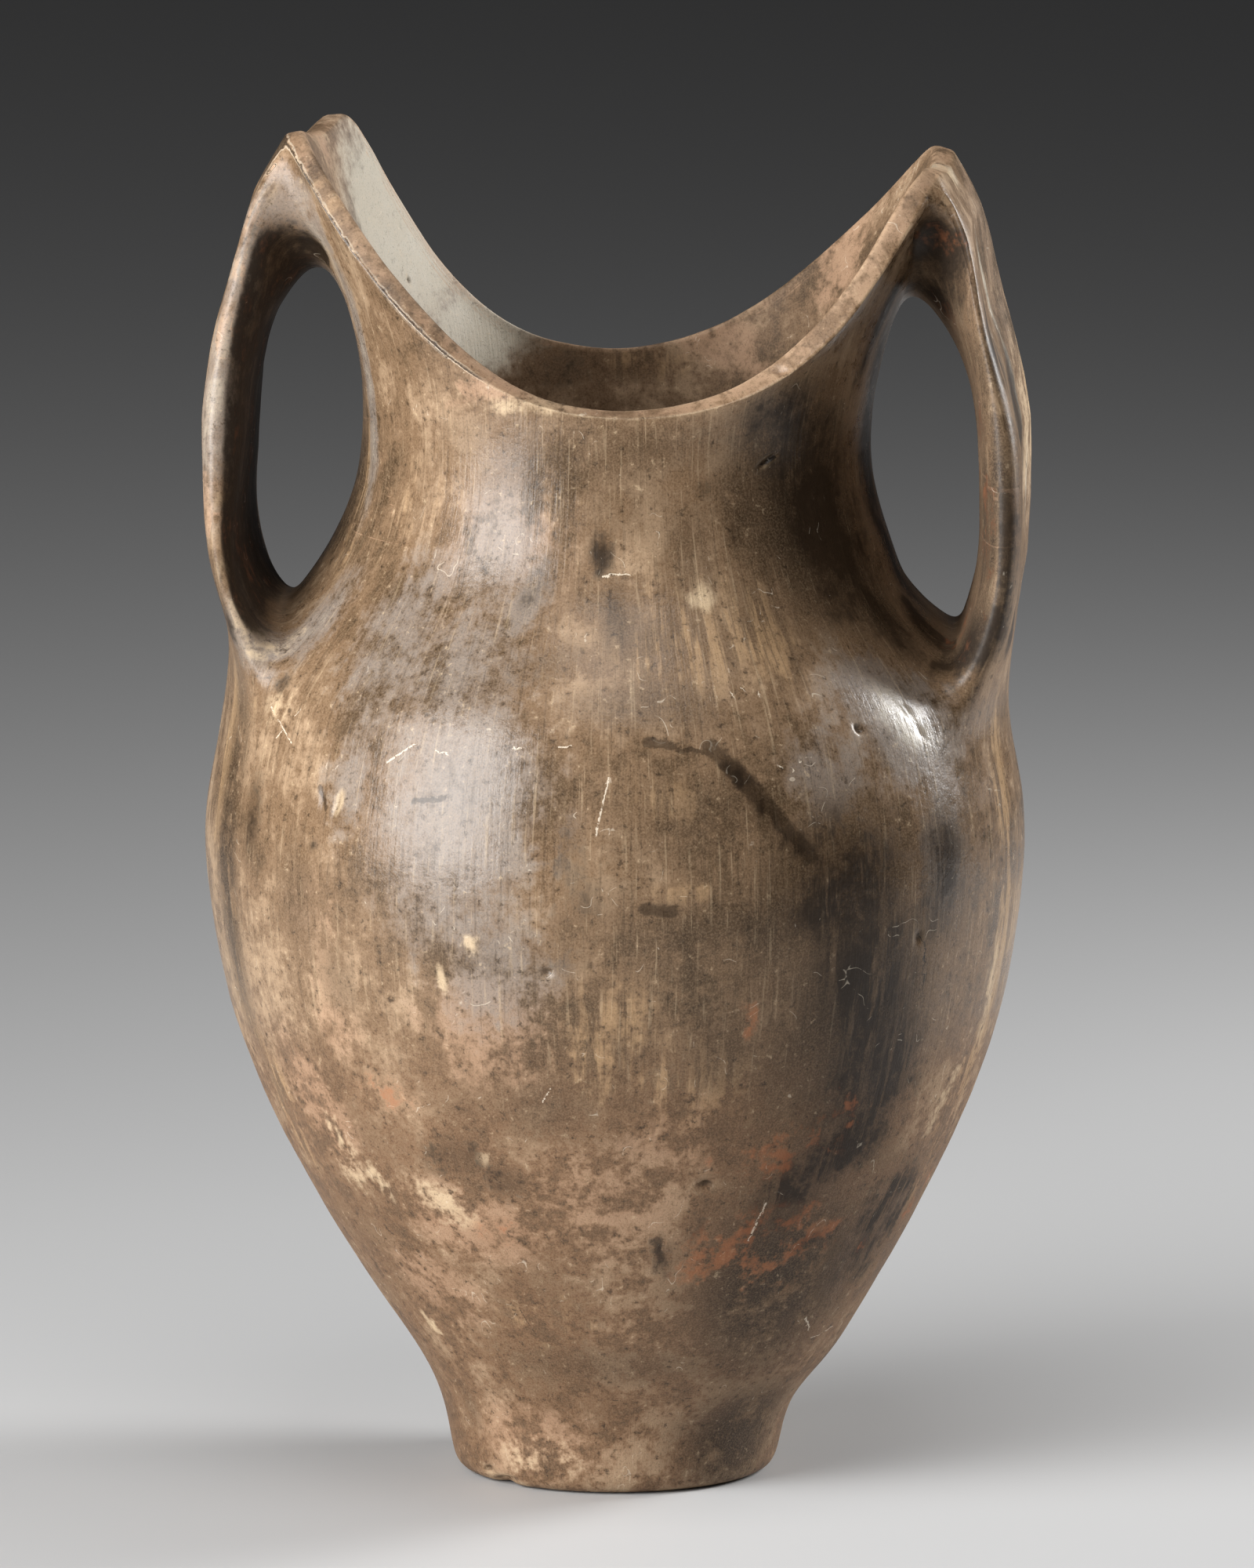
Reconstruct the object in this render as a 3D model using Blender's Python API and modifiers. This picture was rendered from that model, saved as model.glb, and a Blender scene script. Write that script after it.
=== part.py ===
# Hand-built pottery vase with a saddle mouth and two wide strap handles, fired as one piece.
# Metres, +Z up. X runs from handle to handle, the front is -Y, the origin is under the foot.
# The left handle is the one at -X; a value keyed 1 is for the right side, -1 for the left.

import math

import bpy
import bmesh
from mathutils import Vector

# Foot and body, round in plan
FOOT_RADIUS = 0.0500
FOOT_HEIGHT = 0.0220
FOOT_SPREAD = 0.0036
FOOT_EDGE = 0.0060
BELLY_RADIUS = 0.1275
BELLY_HEIGHT = 0.1920
WAIST_RADIUS = 0.0780
WAIST_RISE = 0.1370
SHOULDER_DELAY = 1.20

# The lower body swells to one side just above the foot, as a coil-built wall does
LEAN = 0.0036
LEAN_START = 0.0220
LEAN_RISE = 0.0240

# Where fingers pressed the wall in behind a handle, or out where the depth is below 0. Each press has its
# side, depth, height and spread, and fades out round the vase as this power of its way from the handle.
PRESSES = (
    (1, 0.0052, 0.2790, 0.0090),
    (-1, 0.0030, 0.3450, 0.0130),
    (-1, -0.0024, 0.2550, 0.0260),
)
PRESS_FADE = 3

# Walls
WALL = 0.0066
FLOOR = 0.0130
FLOOR_FILLET = 0.0105
RIM_BEVEL = 0.0035

# Mouth: an oval cut off at both ends, where the handles spring. Rises are above the waist
MOUTH_HALF_DEPTH = 0.0772
MOUTH_CORNER_X = {"front_right": 0.1030, "back_right": 0.1035, "back_left": 0.0915, "front_left": 0.1010}
MOUTH_CORNER_Y = 0.0330
MOUTH_RISE = 0.0115
PEAK_RISE = {1: 0.0845, -1: 0.0945}
END_DIP = 0.0060
RIM_SWEEP = {"front_right": 3.40, "back_right": 1.85, "back_left": 3.30, "front_left": 2.00}
FLARE_POWER = 1.35

# Handles, each a wide strap with a shallow channel down its outer face and an arch of clay at its top.
# Along a strap: share of its fall, then for each side how far the outer face stands out from the line
# between its two roots, and how thick the strap is at its middle and at its edges.
STRAP_FALLS = (0.12, 0.21, 0.31, 0.41, 0.54, 0.68, 0.81, 0.93)
STRAP_STAND = {
    1: (0.0080, 0.0104, 0.0126, 0.0168, 0.0198, 0.0182, 0.0151, 0.0088),
    -1: (0.0124, 0.0150, 0.0188, 0.0217, 0.0233, 0.0210, 0.0176, 0.0098),
}
STRAP_MIDDLE = {
    1: (0.0175, 0.0162, 0.0134, 0.0146, 0.0169, 0.0155, 0.0150, 0.0155),
    -1: (0.0177, 0.0159, 0.0148, 0.0149, 0.0150, 0.0122, 0.0088, 0.0095),
}
STRAP_EDGE = {
    1: (0.0070, 0.0072, 0.0072, 0.0096, 0.0122, 0.0115, 0.0112, 0.0122),
    -1: (0.0072, 0.0074, 0.0093, 0.0109, 0.0132, 0.0118, 0.0087, 0.0080),
}
STRAP_HALF_TOP = 0.0310
STRAP_HALF_FOOT = 0.0540
STRAP_ROUND = 0.0045
STRAP_CHANNEL = 0.0045
CHANNEL_FADE = 0.25
ARCH_SPAN = 0.60
ARCH_MIDDLE = 0.0430
ARCH_EDGE = {1: 0.0045, -1: 0.0200}
ROOT_RISE = 0.0070
ROOT_SWELL = 0.0120
ROOT_START = 0.60

# Where the straps meet the vase: drops are below the waist, shares are of the neck's height
LANDING_DROP = {1: 0.0890, -1: 0.0810}
LANDING_DEPTH = 0.0255
LANDING_SINK = 0.0110
VAULT_MIDDLE = 0.50
VAULT_EDGE = {1: 0.86, -1: 0.72}
VAULT_FADE = 1.50
BODY_TWIST = math.radians(2.4)

# Cage: columns in a quarter of the vase, and its rows as shares of the stretch they lie in
STRAP_COLUMNS = 2
WALL_COLUMNS = 5
FOOT_RINGS = (0.40, 0.80, 0.975)
BODY_ROWS = (0.07, 0.17, 0.34, 0.55, 0.78, 1.0)
SHOULDER_ROWS = (0.10, 0.30, 0.63, 0.94)
FLOOR_RINGS = (0.45, 0.88)
INNER_BODY_ROWS = (0.07, 0.24, 0.50, 0.78, 1.0)
INNER_NECK_ROWS = (0.02, 0.45, 0.85)
SLOPE_STEP = 0.0020
SMOOTHING = 1

CLAY_COLOUR = (0.155, 0.105, 0.070, 1.0)
CLAY_ROUGHNESS = 0.45

# What follows from the values above
QUARTER = STRAP_COLUMNS + WALL_COLUMNS
COLUMNS = 4 * QUARTER
CAGE_SPREAD = 3.0 / (2.0 + math.cos(2.0 * math.pi / COLUMNS))
WAIST_HEIGHT = BELLY_HEIGHT + WAIST_RISE
MOUTH_LOW = WAIST_HEIGHT + MOUTH_RISE


def clear_scene():
    for old in list(bpy.data.objects):
        bpy.data.objects.remove(old, do_unlink=True)


def body_radius(z):
    # foot, then a quarter sine out to the belly, then an S curve in to the waist
    if z <= FOOT_HEIGHT:
        return FOOT_RADIUS + FOOT_SPREAD * max(z, 0.0) / FOOT_HEIGHT
    foot_top = FOOT_RADIUS + FOOT_SPREAD
    if z <= BELLY_HEIGHT:
        share = (z - FOOT_HEIGHT) / (BELLY_HEIGHT - FOOT_HEIGHT)
        return foot_top + (BELLY_RADIUS - foot_top) * math.sin(0.5 * math.pi * share)
    share = min((z - BELLY_HEIGHT) / WAIST_RISE, 1.0) ** SHOULDER_DELAY
    turn = share * share / (share * share + (1.0 - share) * (1.0 - share))
    return BELLY_RADIUS + (WAIST_RADIUS - BELLY_RADIUS) * turn


def body_lean(z):
    swell = max(z - LEAN_START, 0.0) / LEAN_RISE
    return LEAN * swell * math.exp(1.0 - swell)


def quarter_of(column):
    # column 0 is the middle of the right handle, and the columns run on past the back
    quarter, step = divmod(column % COLUMNS, QUARTER)
    step = QUARTER - step if quarter % 2 else step
    side_x = 1 if quarter in (0, 3) else -1
    side_y = 1 if quarter in (0, 1) else -1
    return step, side_x, side_y


def corner_name(side_x, side_y):
    depth = "front" if side_y < 0 else "back"
    return depth + ("_left" if side_x < 0 else "_right")


def wall_fade(column):
    # 1 under a strap, falling to 0 at the middle of the front and of the back
    step = quarter_of(column)[0]
    return 1.0 - max(step - STRAP_COLUMNS, 0) / WALL_COLUMNS


def side_value(column, values):
    # each side's own value at its handle, eased into the other across the front and the back
    side_x = quarter_of(column)[1]
    middle = 0.5 * (values[1] + values[-1])
    return middle + (values[side_x] - middle) * wall_fade(column)


def column_angle(column):
    step, side_x, side_y = quarter_of(column)
    edge = math.asin(STRAP_HALF_FOOT / body_radius(WAIST_HEIGHT - LANDING_DROP[1]))
    if step <= STRAP_COLUMNS:
        angle = edge * step / STRAP_COLUMNS
    else:
        angle = 0.5 * math.pi - (0.5 * math.pi - edge) * wall_fade(column)
    if side_x < 0:
        angle = math.pi - angle
    return side_y * angle


def pressed(column, point):
    side_x = quarter_of(column)[1]
    depth = 0.0
    for side, deepest, height, spread in PRESSES:
        if side == side_x:
            depth += deepest * math.exp(-(((point.z - height) / spread) ** 2))
    inwards = Vector((point.x, point.y, 0.0)).normalized()
    return point - inwards * depth * wall_fade(column) ** PRESS_FADE


def round_point(column, z, inset=0.0):
    angle = column_angle(column) + BODY_TWIST
    radius = body_radius(z)
    if inset:
        slope = (body_radius(z + SLOPE_STEP) - body_radius(z - SLOPE_STEP)) / (2.0 * SLOPE_STEP)
        radius -= inset * math.hypot(1.0, slope)
    radius *= CAGE_SPREAD
    return pressed(column, Vector((radius * math.cos(angle) + body_lean(z), radius * math.sin(angle), z)))


def peak_height(side_x):
    return WAIST_HEIGHT + PEAK_RISE[side_x]


def rim_point(column, inset=0.0):
    step, side_x, side_y = quarter_of(column)
    peak = peak_height(side_x)
    corner_y = MOUTH_CORNER_Y - 0.5 * inset
    half_depth = MOUTH_HALF_DEPTH - inset
    if step <= STRAP_COLUMNS:
        share = step / STRAP_COLUMNS
        front = MOUTH_CORNER_X[corner_name(side_x, -1)]
        back = MOUTH_CORNER_X[corner_name(side_x, 1)]
        reach = 0.5 * (front + back) + 0.5 * (back - front) * side_y * share - inset
        return Vector((side_x * reach, side_y * share * corner_y, peak - END_DIP * (1.0 - share * share)))
    name = corner_name(side_x, side_y)
    corner_x = MOUTH_CORNER_X[name] - inset
    start = math.asin(corner_y / half_depth)
    swing = 0.5 * math.pi - (0.5 * math.pi - start) * wall_fade(column)
    x = corner_x * math.cos(swing) / math.cos(start)
    z = MOUTH_LOW + (peak - MOUTH_LOW) * max(x / corner_x, 0.0) ** RIM_SWEEP[name]
    return Vector((side_x * x, side_y * half_depth * math.sin(swing), z))


def neck_point(column, share, inset=0.0):
    # share 0 is the round waist, 1 is the oval rim
    low = round_point(column, WAIST_HEIGHT, inset)
    high = rim_point(column, inset)
    point = low.lerp(high, share ** FLARE_POWER)
    point.z = low.z + (high.z - low.z) * share
    return pressed(column, point) if 0.0 < share < 1.0 else point


def vault_share(column):
    # how far up the neck the strap parts from the wall: low at mid strap, high at its edges
    step, side_x, side_y = quarter_of(column)
    rise = VAULT_EDGE[side_x] - VAULT_MIDDLE
    if step <= STRAP_COLUMNS:
        return VAULT_MIDDLE + rise * (step / STRAP_COLUMNS) ** 2
    return VAULT_MIDDLE + rise * wall_fade(column) ** VAULT_FADE


def landing_heights(column):
    # the upper line of the landing sinks towards the strap's edges
    step = quarter_of(column)[0]
    low = WAIST_HEIGHT - side_value(column, LANDING_DROP)
    high = low + LANDING_DEPTH - LANDING_SINK * min(step / STRAP_COLUMNS, 1.0) ** 2 * wall_fade(column)
    return low, 0.5 * (low + high), high


def ring_at(bm, point_of):
    return [bm.verts.new(point_of(column)) for column in range(COLUMNS)]


def flat_ring(bm, radius, z):
    def point_of(column):
        point = round_point(column, 0.0).normalized() * radius
        point.z = z
        return point

    return ring_at(bm, point_of)


def outer_rows(bm):
    # all rings of the outside, from under the foot up to the rim
    rows = [flat_ring(bm, share * FOOT_RADIUS, 0.0) for share in FOOT_RINGS]
    body_rise = BELLY_HEIGHT - FOOT_HEIGHT
    heights = [FOOT_EDGE, FOOT_HEIGHT]
    heights += [FOOT_HEIGHT + body_rise * share for share in BODY_ROWS]
    heights.append(BELLY_HEIGHT + 0.5 * (WAIST_RISE - LANDING_DROP[1]))
    for z in heights:
        rows.append(ring_at(bm, lambda column: round_point(column, z)))
    landing_row = len(rows)
    for level in range(3):
        rows.append(ring_at(bm, lambda column: round_point(column, landing_heights(column)[level])))
    landing_top = WAIST_HEIGHT - LANDING_DROP[-1] + LANDING_DEPTH
    for share in SHOULDER_ROWS:
        z = landing_top + (WAIST_HEIGHT - landing_top) * share
        rows.append(ring_at(bm, lambda column: round_point(column, z)))
    rows.append(ring_at(bm, lambda column: neck_point(column, 0.5 * vault_share(column))))
    vault_row = len(rows)
    rows.append(ring_at(bm, lambda column: neck_point(column, vault_share(column))))
    rows.append(ring_at(bm, lambda column: neck_point(column, 0.5 * (1.0 + vault_share(column)))))
    rows.append(ring_at(bm, lambda column: neck_point(column, 1.0)))
    return rows, landing_row, vault_row


def inner_rows(bm):
    # all rings of the hollow, from its floor up to the rim's inner edge
    floor_edge = body_radius(FLOOR) - FLOOR_FILLET
    rows = [flat_ring(bm, share * floor_edge, FLOOR) for share in FLOOR_RINGS]
    body_rise = BELLY_HEIGHT - FOOT_HEIGHT
    landing_low = WAIST_HEIGHT - LANDING_DROP[1]
    landing_top = WAIST_HEIGHT - LANDING_DROP[-1] + LANDING_DEPTH
    heights = [FOOT_HEIGHT + body_rise * share for share in INNER_BODY_ROWS]
    heights.append(0.5 * (BELLY_HEIGHT + landing_low))
    heights.append(0.5 * (landing_low + landing_top))
    heights.append(0.5 * (landing_top + WAIST_HEIGHT))
    for z in heights:
        rows.append(ring_at(bm, lambda column: round_point(column, z, WALL)))
    for share in INNER_NECK_ROWS:
        rows.append(ring_at(bm, lambda column: neck_point(column, share, WALL)))
    step_up = Vector((0.0, 0.0, RIM_BEVEL))
    rows.append(ring_at(bm, lambda column: neck_point(column, 1.0, WALL) + step_up))
    return rows


def join_rows(bm, lower, upper, skip=()):
    for i, vert in enumerate(lower):
        if i not in skip:
            j = (i + 1) % len(lower)
            bm.faces.new((vert, lower[j], upper[j], upper[i]))


def close_ring(bm, ring, facing_up):
    centre = bm.verts.new((body_lean(0.0), 0.0, ring[0].co.z))
    for i, vert in enumerate(ring):
        after = ring[(i + 1) % len(ring)]
        bm.faces.new((centre, vert, after) if facing_up else (centre, after, vert))


def patch_ring(rows, first_row, middle, upper_first):
    # the outline of the two rows of wall that a strap covers, in the order of a strap's ring
    columns = [(middle + k) % COLUMNS for k in range(-STRAP_COLUMNS, STRAP_COLUMNS + 1)]
    low = [rows[first_row][c] for c in columns]
    high = [rows[first_row + 2][c] for c in columns]
    sides = [rows[first_row + 1][columns[-1]]], [rows[first_row + 1][columns[0]]]
    if upper_first:
        return high + sides[0] + low[::-1] + sides[1]
    return low + sides[0] + high[::-1] + sides[1]


def strap_root(side):
    # the two ends of the line that the strap's outer face stands out from
    front = MOUTH_CORNER_X[corner_name(side, -1)]
    back = MOUTH_CORNER_X[corner_name(side, 1)]
    foot_z = WAIST_HEIGHT - LANDING_DROP[side] + 0.5 * LANDING_DEPTH
    foot_x = body_radius(foot_z) + side * body_lean(foot_z)
    return Vector((0.5 * (front + back), 0.0, peak_height(side))), Vector((foot_x, 0.0, foot_z))


def strap_ring(bm, side, station):
    fall = STRAP_FALLS[station]
    place = (station + 1) / (len(STRAP_FALLS) + 1)
    top, foot = strap_root(side)
    flange = top.lerp(foot, fall)
    flange.x += STRAP_STAND[side][station]
    half = STRAP_HALF_TOP + (STRAP_HALF_FOOT - STRAP_HALF_TOP) * math.sin(0.5 * math.pi * place)
    near_root = max(place - ROOT_START, 0.0) / (1.0 - ROOT_START)
    channel = STRAP_CHANNEL * min(place / CHANNEL_FADE, 1.0) - ROOT_SWELL * near_root ** 2
    arch = max(1.0 - fall / ARCH_SPAN, 0.0) ** 2
    rise = ROOT_RISE * fall ** 4
    outer = []
    inner = []
    for k in range(-STRAP_COLUMNS, STRAP_COLUMNS + 1):
        across = k / STRAP_COLUMNS
        bow = 1.0 - across * across
        thickness = STRAP_EDGE[side][station]
        thickness += (STRAP_MIDDLE[side][station] - thickness) * bow
        drop = ARCH_EDGE[side] + (ARCH_MIDDLE - ARCH_EDGE[side]) * bow
        y = side * across * half
        outer.append(Vector((side * (flange.x - channel * bow), y, flange.z)))
        inner.append(Vector((side * (flange.x - thickness), y, flange.z - drop * arch + rise * bow)))
    ends = []
    for k, way in ((-1, side), (0, -side)):
        end = outer[k].lerp(inner[k], 0.5)
        end.y += way * STRAP_ROUND * min(1.0, min(place, 1.0 - place) / CHANNEL_FADE)
        ends.append(end)
    ring = outer + [ends[0]] + inner[::-1] + [ends[1]]
    turn = BODY_TWIST * place
    cosine, sine = math.cos(turn), math.sin(turn)
    return [bm.verts.new((p.x * cosine - p.y * sine, p.x * sine + p.y * cosine, p.z)) for p in ring]


def add_handle(bm, rows, landing_row, vault_row, side):
    middle = 0 if side > 0 else 2 * QUARTER
    rings = [patch_ring(rows, vault_row, middle, True)]
    for station in range(len(STRAP_FALLS)):
        rings.append(strap_ring(bm, side, station))
    rings.append(patch_ring(rows, landing_row, middle, False))
    for upper, lower in zip(rings, rings[1:]):
        join_rows(bm, lower, upper)


def vase_cage():
    bm = bmesh.new()
    rows, landing_row, vault_row = outer_rows(bm)
    covered = [(middle + k) % COLUMNS for middle in (0, 2 * QUARTER) for k in range(-STRAP_COLUMNS, STRAP_COLUMNS)]
    patches = (landing_row, landing_row + 1, vault_row, vault_row + 1)
    for i, (lower, upper) in enumerate(zip(rows, rows[1:])):
        join_rows(bm, lower, upper, covered if i in patches else ())
    for side in (1, -1):
        add_handle(bm, rows, landing_row, vault_row, side)
    hollow = inner_rows(bm)
    for lower, upper in zip(hollow, hollow[1:]):
        join_rows(bm, upper, lower)
    join_rows(bm, rows[-1], hollow[-1])
    close_ring(bm, rows[0], False)
    close_ring(bm, hollow[0], True)
    return bm


def make_vase(collection, material):
    mesh = bpy.data.meshes.new("vase")
    bm = vase_cage()
    bm.to_mesh(mesh)
    bm.free()
    mesh.shade_smooth()
    mesh.materials.append(material)
    vase = bpy.data.objects.new("vase", mesh)
    collection.objects.link(vase)
    smooth = vase.modifiers.new("hand-smoothed clay", "SUBSURF")
    smooth.levels = SMOOTHING
    smooth.render_levels = SMOOTHING


def clay_material():
    material = bpy.data.materials.new("burnished clay")
    material.use_nodes = True
    shader = material.node_tree.nodes["Principled BSDF"]
    shader.inputs["Base Color"].default_value = CLAY_COLOUR
    shader.inputs["Roughness"].default_value = CLAY_ROUGHNESS
    shader.inputs["Metallic"].default_value = 0.0
    return material


def main():
    clear_scene()
    collection = bpy.data.collections.new("Pottery vase")
    bpy.context.scene.collection.children.link(collection)
    make_vase(collection, clay_material())


main()
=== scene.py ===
import math

import bmesh
import bpy
import numpy as np
from mathutils import Matrix, Vector, noise
from mathutils.bvhtree import BVHTree
from mathutils.kdtree import KDTree


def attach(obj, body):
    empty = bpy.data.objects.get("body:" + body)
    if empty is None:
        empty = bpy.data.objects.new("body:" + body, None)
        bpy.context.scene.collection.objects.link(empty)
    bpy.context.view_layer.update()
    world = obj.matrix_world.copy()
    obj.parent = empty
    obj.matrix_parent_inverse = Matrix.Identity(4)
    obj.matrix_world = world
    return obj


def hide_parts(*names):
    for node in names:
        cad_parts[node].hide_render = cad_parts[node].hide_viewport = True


# Hand-built two-handled vase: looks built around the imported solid. Metres, +Z up, the front is -Y.
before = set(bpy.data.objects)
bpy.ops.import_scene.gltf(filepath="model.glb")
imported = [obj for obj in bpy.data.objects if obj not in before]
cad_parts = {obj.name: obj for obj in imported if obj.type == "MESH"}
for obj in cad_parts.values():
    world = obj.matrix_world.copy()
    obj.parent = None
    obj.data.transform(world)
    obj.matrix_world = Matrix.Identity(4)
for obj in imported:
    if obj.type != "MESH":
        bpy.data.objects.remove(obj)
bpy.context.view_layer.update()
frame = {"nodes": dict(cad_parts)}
print("frame loaded:", ", ".join(frame["nodes"]))

# Sizes follow the solid's; a value keyed 1 is for the right side, -1 for the left
vase = {
    "footRadius": 0.0500,
    "footHeight": 0.0220,
    "footSpread": 0.0036,
    "footEdge": 0.0050,
    "bellyRadius": 0.1275,
    "bellyHeight": 0.1920,
    "waistRadius": 0.0780,
    "waistRise": 0.1370,
    "shoulderDelay": 1.20,
    "lean": 0.0036,
    "leanStart": 0.0220,
    "leanRise": 0.0240,
    "presses": ((1, 0.0052, 0.2790, 0.0090), (-1, 0.0030, 0.3450, 0.0130), (-1, -0.0024, 0.2550, 0.0260)),
    "pressFade": 3,
    "wall": 0.0066,
    "mouthHalfDepth": 0.0772,
    "mouthCornerX": {"frontRight": 0.1030, "backRight": 0.1035, "backLeft": 0.0915, "frontLeft": 0.1010},
    "mouthCornerY": 0.0330,
    "mouthRise": 0.0115,
    "peakRise": {1: 0.0845, -1: 0.0945},
    "endDip": 0.0060,
    "rimSweep": {"frontRight": 3.40, "backRight": 1.85, "backLeft": 3.30, "frontLeft": 2.00},
    "rimBevel": 0.0024,
    "peakRub": 0.0010,
    "flarePower": 1.35,
    "bodyTwist": math.radians(2.4),
    "footRings": (0.0, 0.80, 0.975),
    "bodyRows": (0.07, 0.17, 0.34, 0.55, 0.78, 1.0),
    "shoulderRows": (0.10, 0.30, 0.63, 0.94),
    "strapColumns": 2,
    "wallColumns": 5,
    "bandCrease": 0.55,
    "lipCrease": 0.35,
    "smoothing": 3,
    "weld": 0.0001,
}
vase["quarter"] = vase["strapColumns"] + vase["wallColumns"]
vase["columns"] = 4 * vase["quarter"]
vase["waistHeight"] = vase["bellyHeight"] + vase["waistRise"]
vase["mouthLow"] = vase["waistHeight"] + vase["mouthRise"]
vase["cageSpread"] = 3.0 / (2.0 + math.cos(2.0 * math.pi / vase["columns"]))

# Along a strap: share of its fall, then for each side its stand-out and its thickness at middle and edge
strap = {
    "falls": (0.12, 0.21, 0.31, 0.41, 0.54, 0.68, 0.81, 0.93),
    "stand": {
        1: (0.0080, 0.0104, 0.0126, 0.0168, 0.0198, 0.0182, 0.0151, 0.0088),
        -1: (0.0124, 0.0150, 0.0188, 0.0217, 0.0233, 0.0210, 0.0176, 0.0098),
    },
    "middle": {
        1: (0.0175, 0.0162, 0.0134, 0.0146, 0.0169, 0.0155, 0.0150, 0.0155),
        -1: (0.0177, 0.0159, 0.0148, 0.0149, 0.0150, 0.0122, 0.0088, 0.0095),
    },
    "edge": {
        1: (0.0070, 0.0072, 0.0072, 0.0096, 0.0122, 0.0115, 0.0112, 0.0122),
        -1: (0.0072, 0.0074, 0.0093, 0.0109, 0.0132, 0.0118, 0.0087, 0.0080),
    },
    "halfTop": 0.0310,
    "halfFoot": 0.0540,
    "round": 0.0045,
    "channel": 0.0045,
    "channelFade": 0.25,
    "archSpan": 0.60,
    "archMiddle": 0.0430,
    "archEdge": {1: 0.0045, -1: 0.0200},
    "rootRise": 0.0070,
    "rootSwell": 0.0120,
    "rootStart": 0.60,
    "landingDrop": {1: 0.0890, -1: 0.0810},
    "landingDepth": 0.0255,
    "landingSink": 0.0110,
    "vaultMiddle": 0.50,
    "vaultEdge": {1: 0.86, -1: 0.72},
    "vaultFade": 1.50,
}


def putInScene(name, data):
    made = bpy.data.objects.new(name, data)
    bpy.context.scene.collection.objects.link(made)
    return made


def bodyRadius(z):
    # foot, then a quarter sine out to the belly, then an S curve in to the waist
    if z <= vase["footHeight"]:
        return vase["footRadius"] + vase["footSpread"] * max(z, 0.0) / vase["footHeight"]
    footTop = vase["footRadius"] + vase["footSpread"]
    if z <= vase["bellyHeight"]:
        share = (z - vase["footHeight"]) / (vase["bellyHeight"] - vase["footHeight"])
        return footTop + (vase["bellyRadius"] - footTop) * math.sin(0.5 * math.pi * share)
    share = min((z - vase["bellyHeight"]) / vase["waistRise"], 1.0) ** vase["shoulderDelay"]
    turn = share * share / (share * share + (1.0 - share) * (1.0 - share))
    return vase["bellyRadius"] + (vase["waistRadius"] - vase["bellyRadius"]) * turn


def bodyLean(z):
    swell = max(z - vase["leanStart"], 0.0) / vase["leanRise"]
    return vase["lean"] * swell * math.exp(1.0 - swell)


def quarterOf(column):
    # column 0 is the middle of the right handle, and the columns run on past the back
    quarter, step = divmod(column % vase["columns"], vase["quarter"])
    step = vase["quarter"] - step if quarter % 2 else step
    return step, 1 if quarter in (0, 3) else -1, 1 if quarter in (0, 1) else -1


def cornerName(sideX, sideY):
    return ("front" if sideY < 0 else "back") + ("Left" if sideX < 0 else "Right")


def wallFade(column):
    # 1 under a strap, falling to 0 at the middle of the front and of the back
    return 1.0 - max(quarterOf(column)[0] - vase["strapColumns"], 0) / vase["wallColumns"]


def sideValue(column, values):
    middle = 0.5 * (values[1] + values[-1])
    return middle + (values[quarterOf(column)[1]] - middle) * wallFade(column)


def columnAngle(column):
    step, sideX, sideY = quarterOf(column)
    edge = math.asin(strap["halfFoot"] / bodyRadius(vase["waistHeight"] - strap["landingDrop"][1]))
    if step <= vase["strapColumns"]:
        angle = edge * step / vase["strapColumns"]
    else:
        angle = 0.5 * math.pi - (0.5 * math.pi - edge) * wallFade(column)
    return sideY * (math.pi - angle if sideX < 0 else angle)


def pressed(column, point):
    # a press is its side, depth, height and spread: where fingers pushed the wall in, or out below 0
    depth = 0.0
    for side, deepest, height, spread in vase["presses"]:
        if side == quarterOf(column)[1]:
            depth += deepest * math.exp(-(((point.z - height) / spread) ** 2))
    outward = Vector((point.x, point.y, 0.0)).normalized()
    return point - outward * depth * wallFade(column) ** vase["pressFade"]


def roundPoint(column, z):
    angle = columnAngle(column) + vase["bodyTwist"]
    radius = bodyRadius(z) * vase["cageSpread"]
    return pressed(column, Vector((radius * math.cos(angle) + bodyLean(z), radius * math.sin(angle), z)))


def peakHeight(sideX):
    return vase["waistHeight"] + vase["peakRise"][sideX]


def rimPoint(column):
    step, sideX, sideY = quarterOf(column)
    peak = peakHeight(sideX)
    cornerY = vase["mouthCornerY"]
    if step <= vase["strapColumns"]:
        share = step / vase["strapColumns"]
        front = vase["mouthCornerX"][cornerName(sideX, -1)]
        back = vase["mouthCornerX"][cornerName(sideX, 1)]
        reach = 0.5 * (front + back) + 0.5 * (back - front) * sideY * share
        z = peak - vase["endDip"] * (1.0 - share * share)
        return Vector((sideX * reach, sideY * share * cornerY, z))
    name = cornerName(sideX, sideY)
    cornerX = vase["mouthCornerX"][name]
    start = math.asin(cornerY / vase["mouthHalfDepth"])
    swing = 0.5 * math.pi - (0.5 * math.pi - start) * wallFade(column)
    x = cornerX * math.cos(swing) / math.cos(start)
    z = vase["mouthLow"] + (peak - vase["mouthLow"]) * max(x / cornerX, 0.0) ** vase["rimSweep"][name]
    return Vector((sideX * x, sideY * vase["mouthHalfDepth"] * math.sin(swing), z))


def neckPoint(column, share):
    # share 0 is the round waist, 1 is the oval rim
    low = roundPoint(column, vase["waistHeight"])
    high = rimPoint(column)
    point = low.lerp(high, share ** vase["flarePower"])
    point.z = low.z + (high.z - low.z) * share
    return pressed(column, point) if 0.0 < share < 1.0 else point


def vaultShare(column):
    # how far up the neck the strap parts from the wall: low at mid strap, high at its edges
    step, sideX, sideY = quarterOf(column)
    rise = strap["vaultEdge"][sideX] - strap["vaultMiddle"]
    if step <= vase["strapColumns"]:
        return strap["vaultMiddle"] + rise * (step / vase["strapColumns"]) ** 2
    return strap["vaultMiddle"] + rise * wallFade(column) ** strap["vaultFade"]


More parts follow.
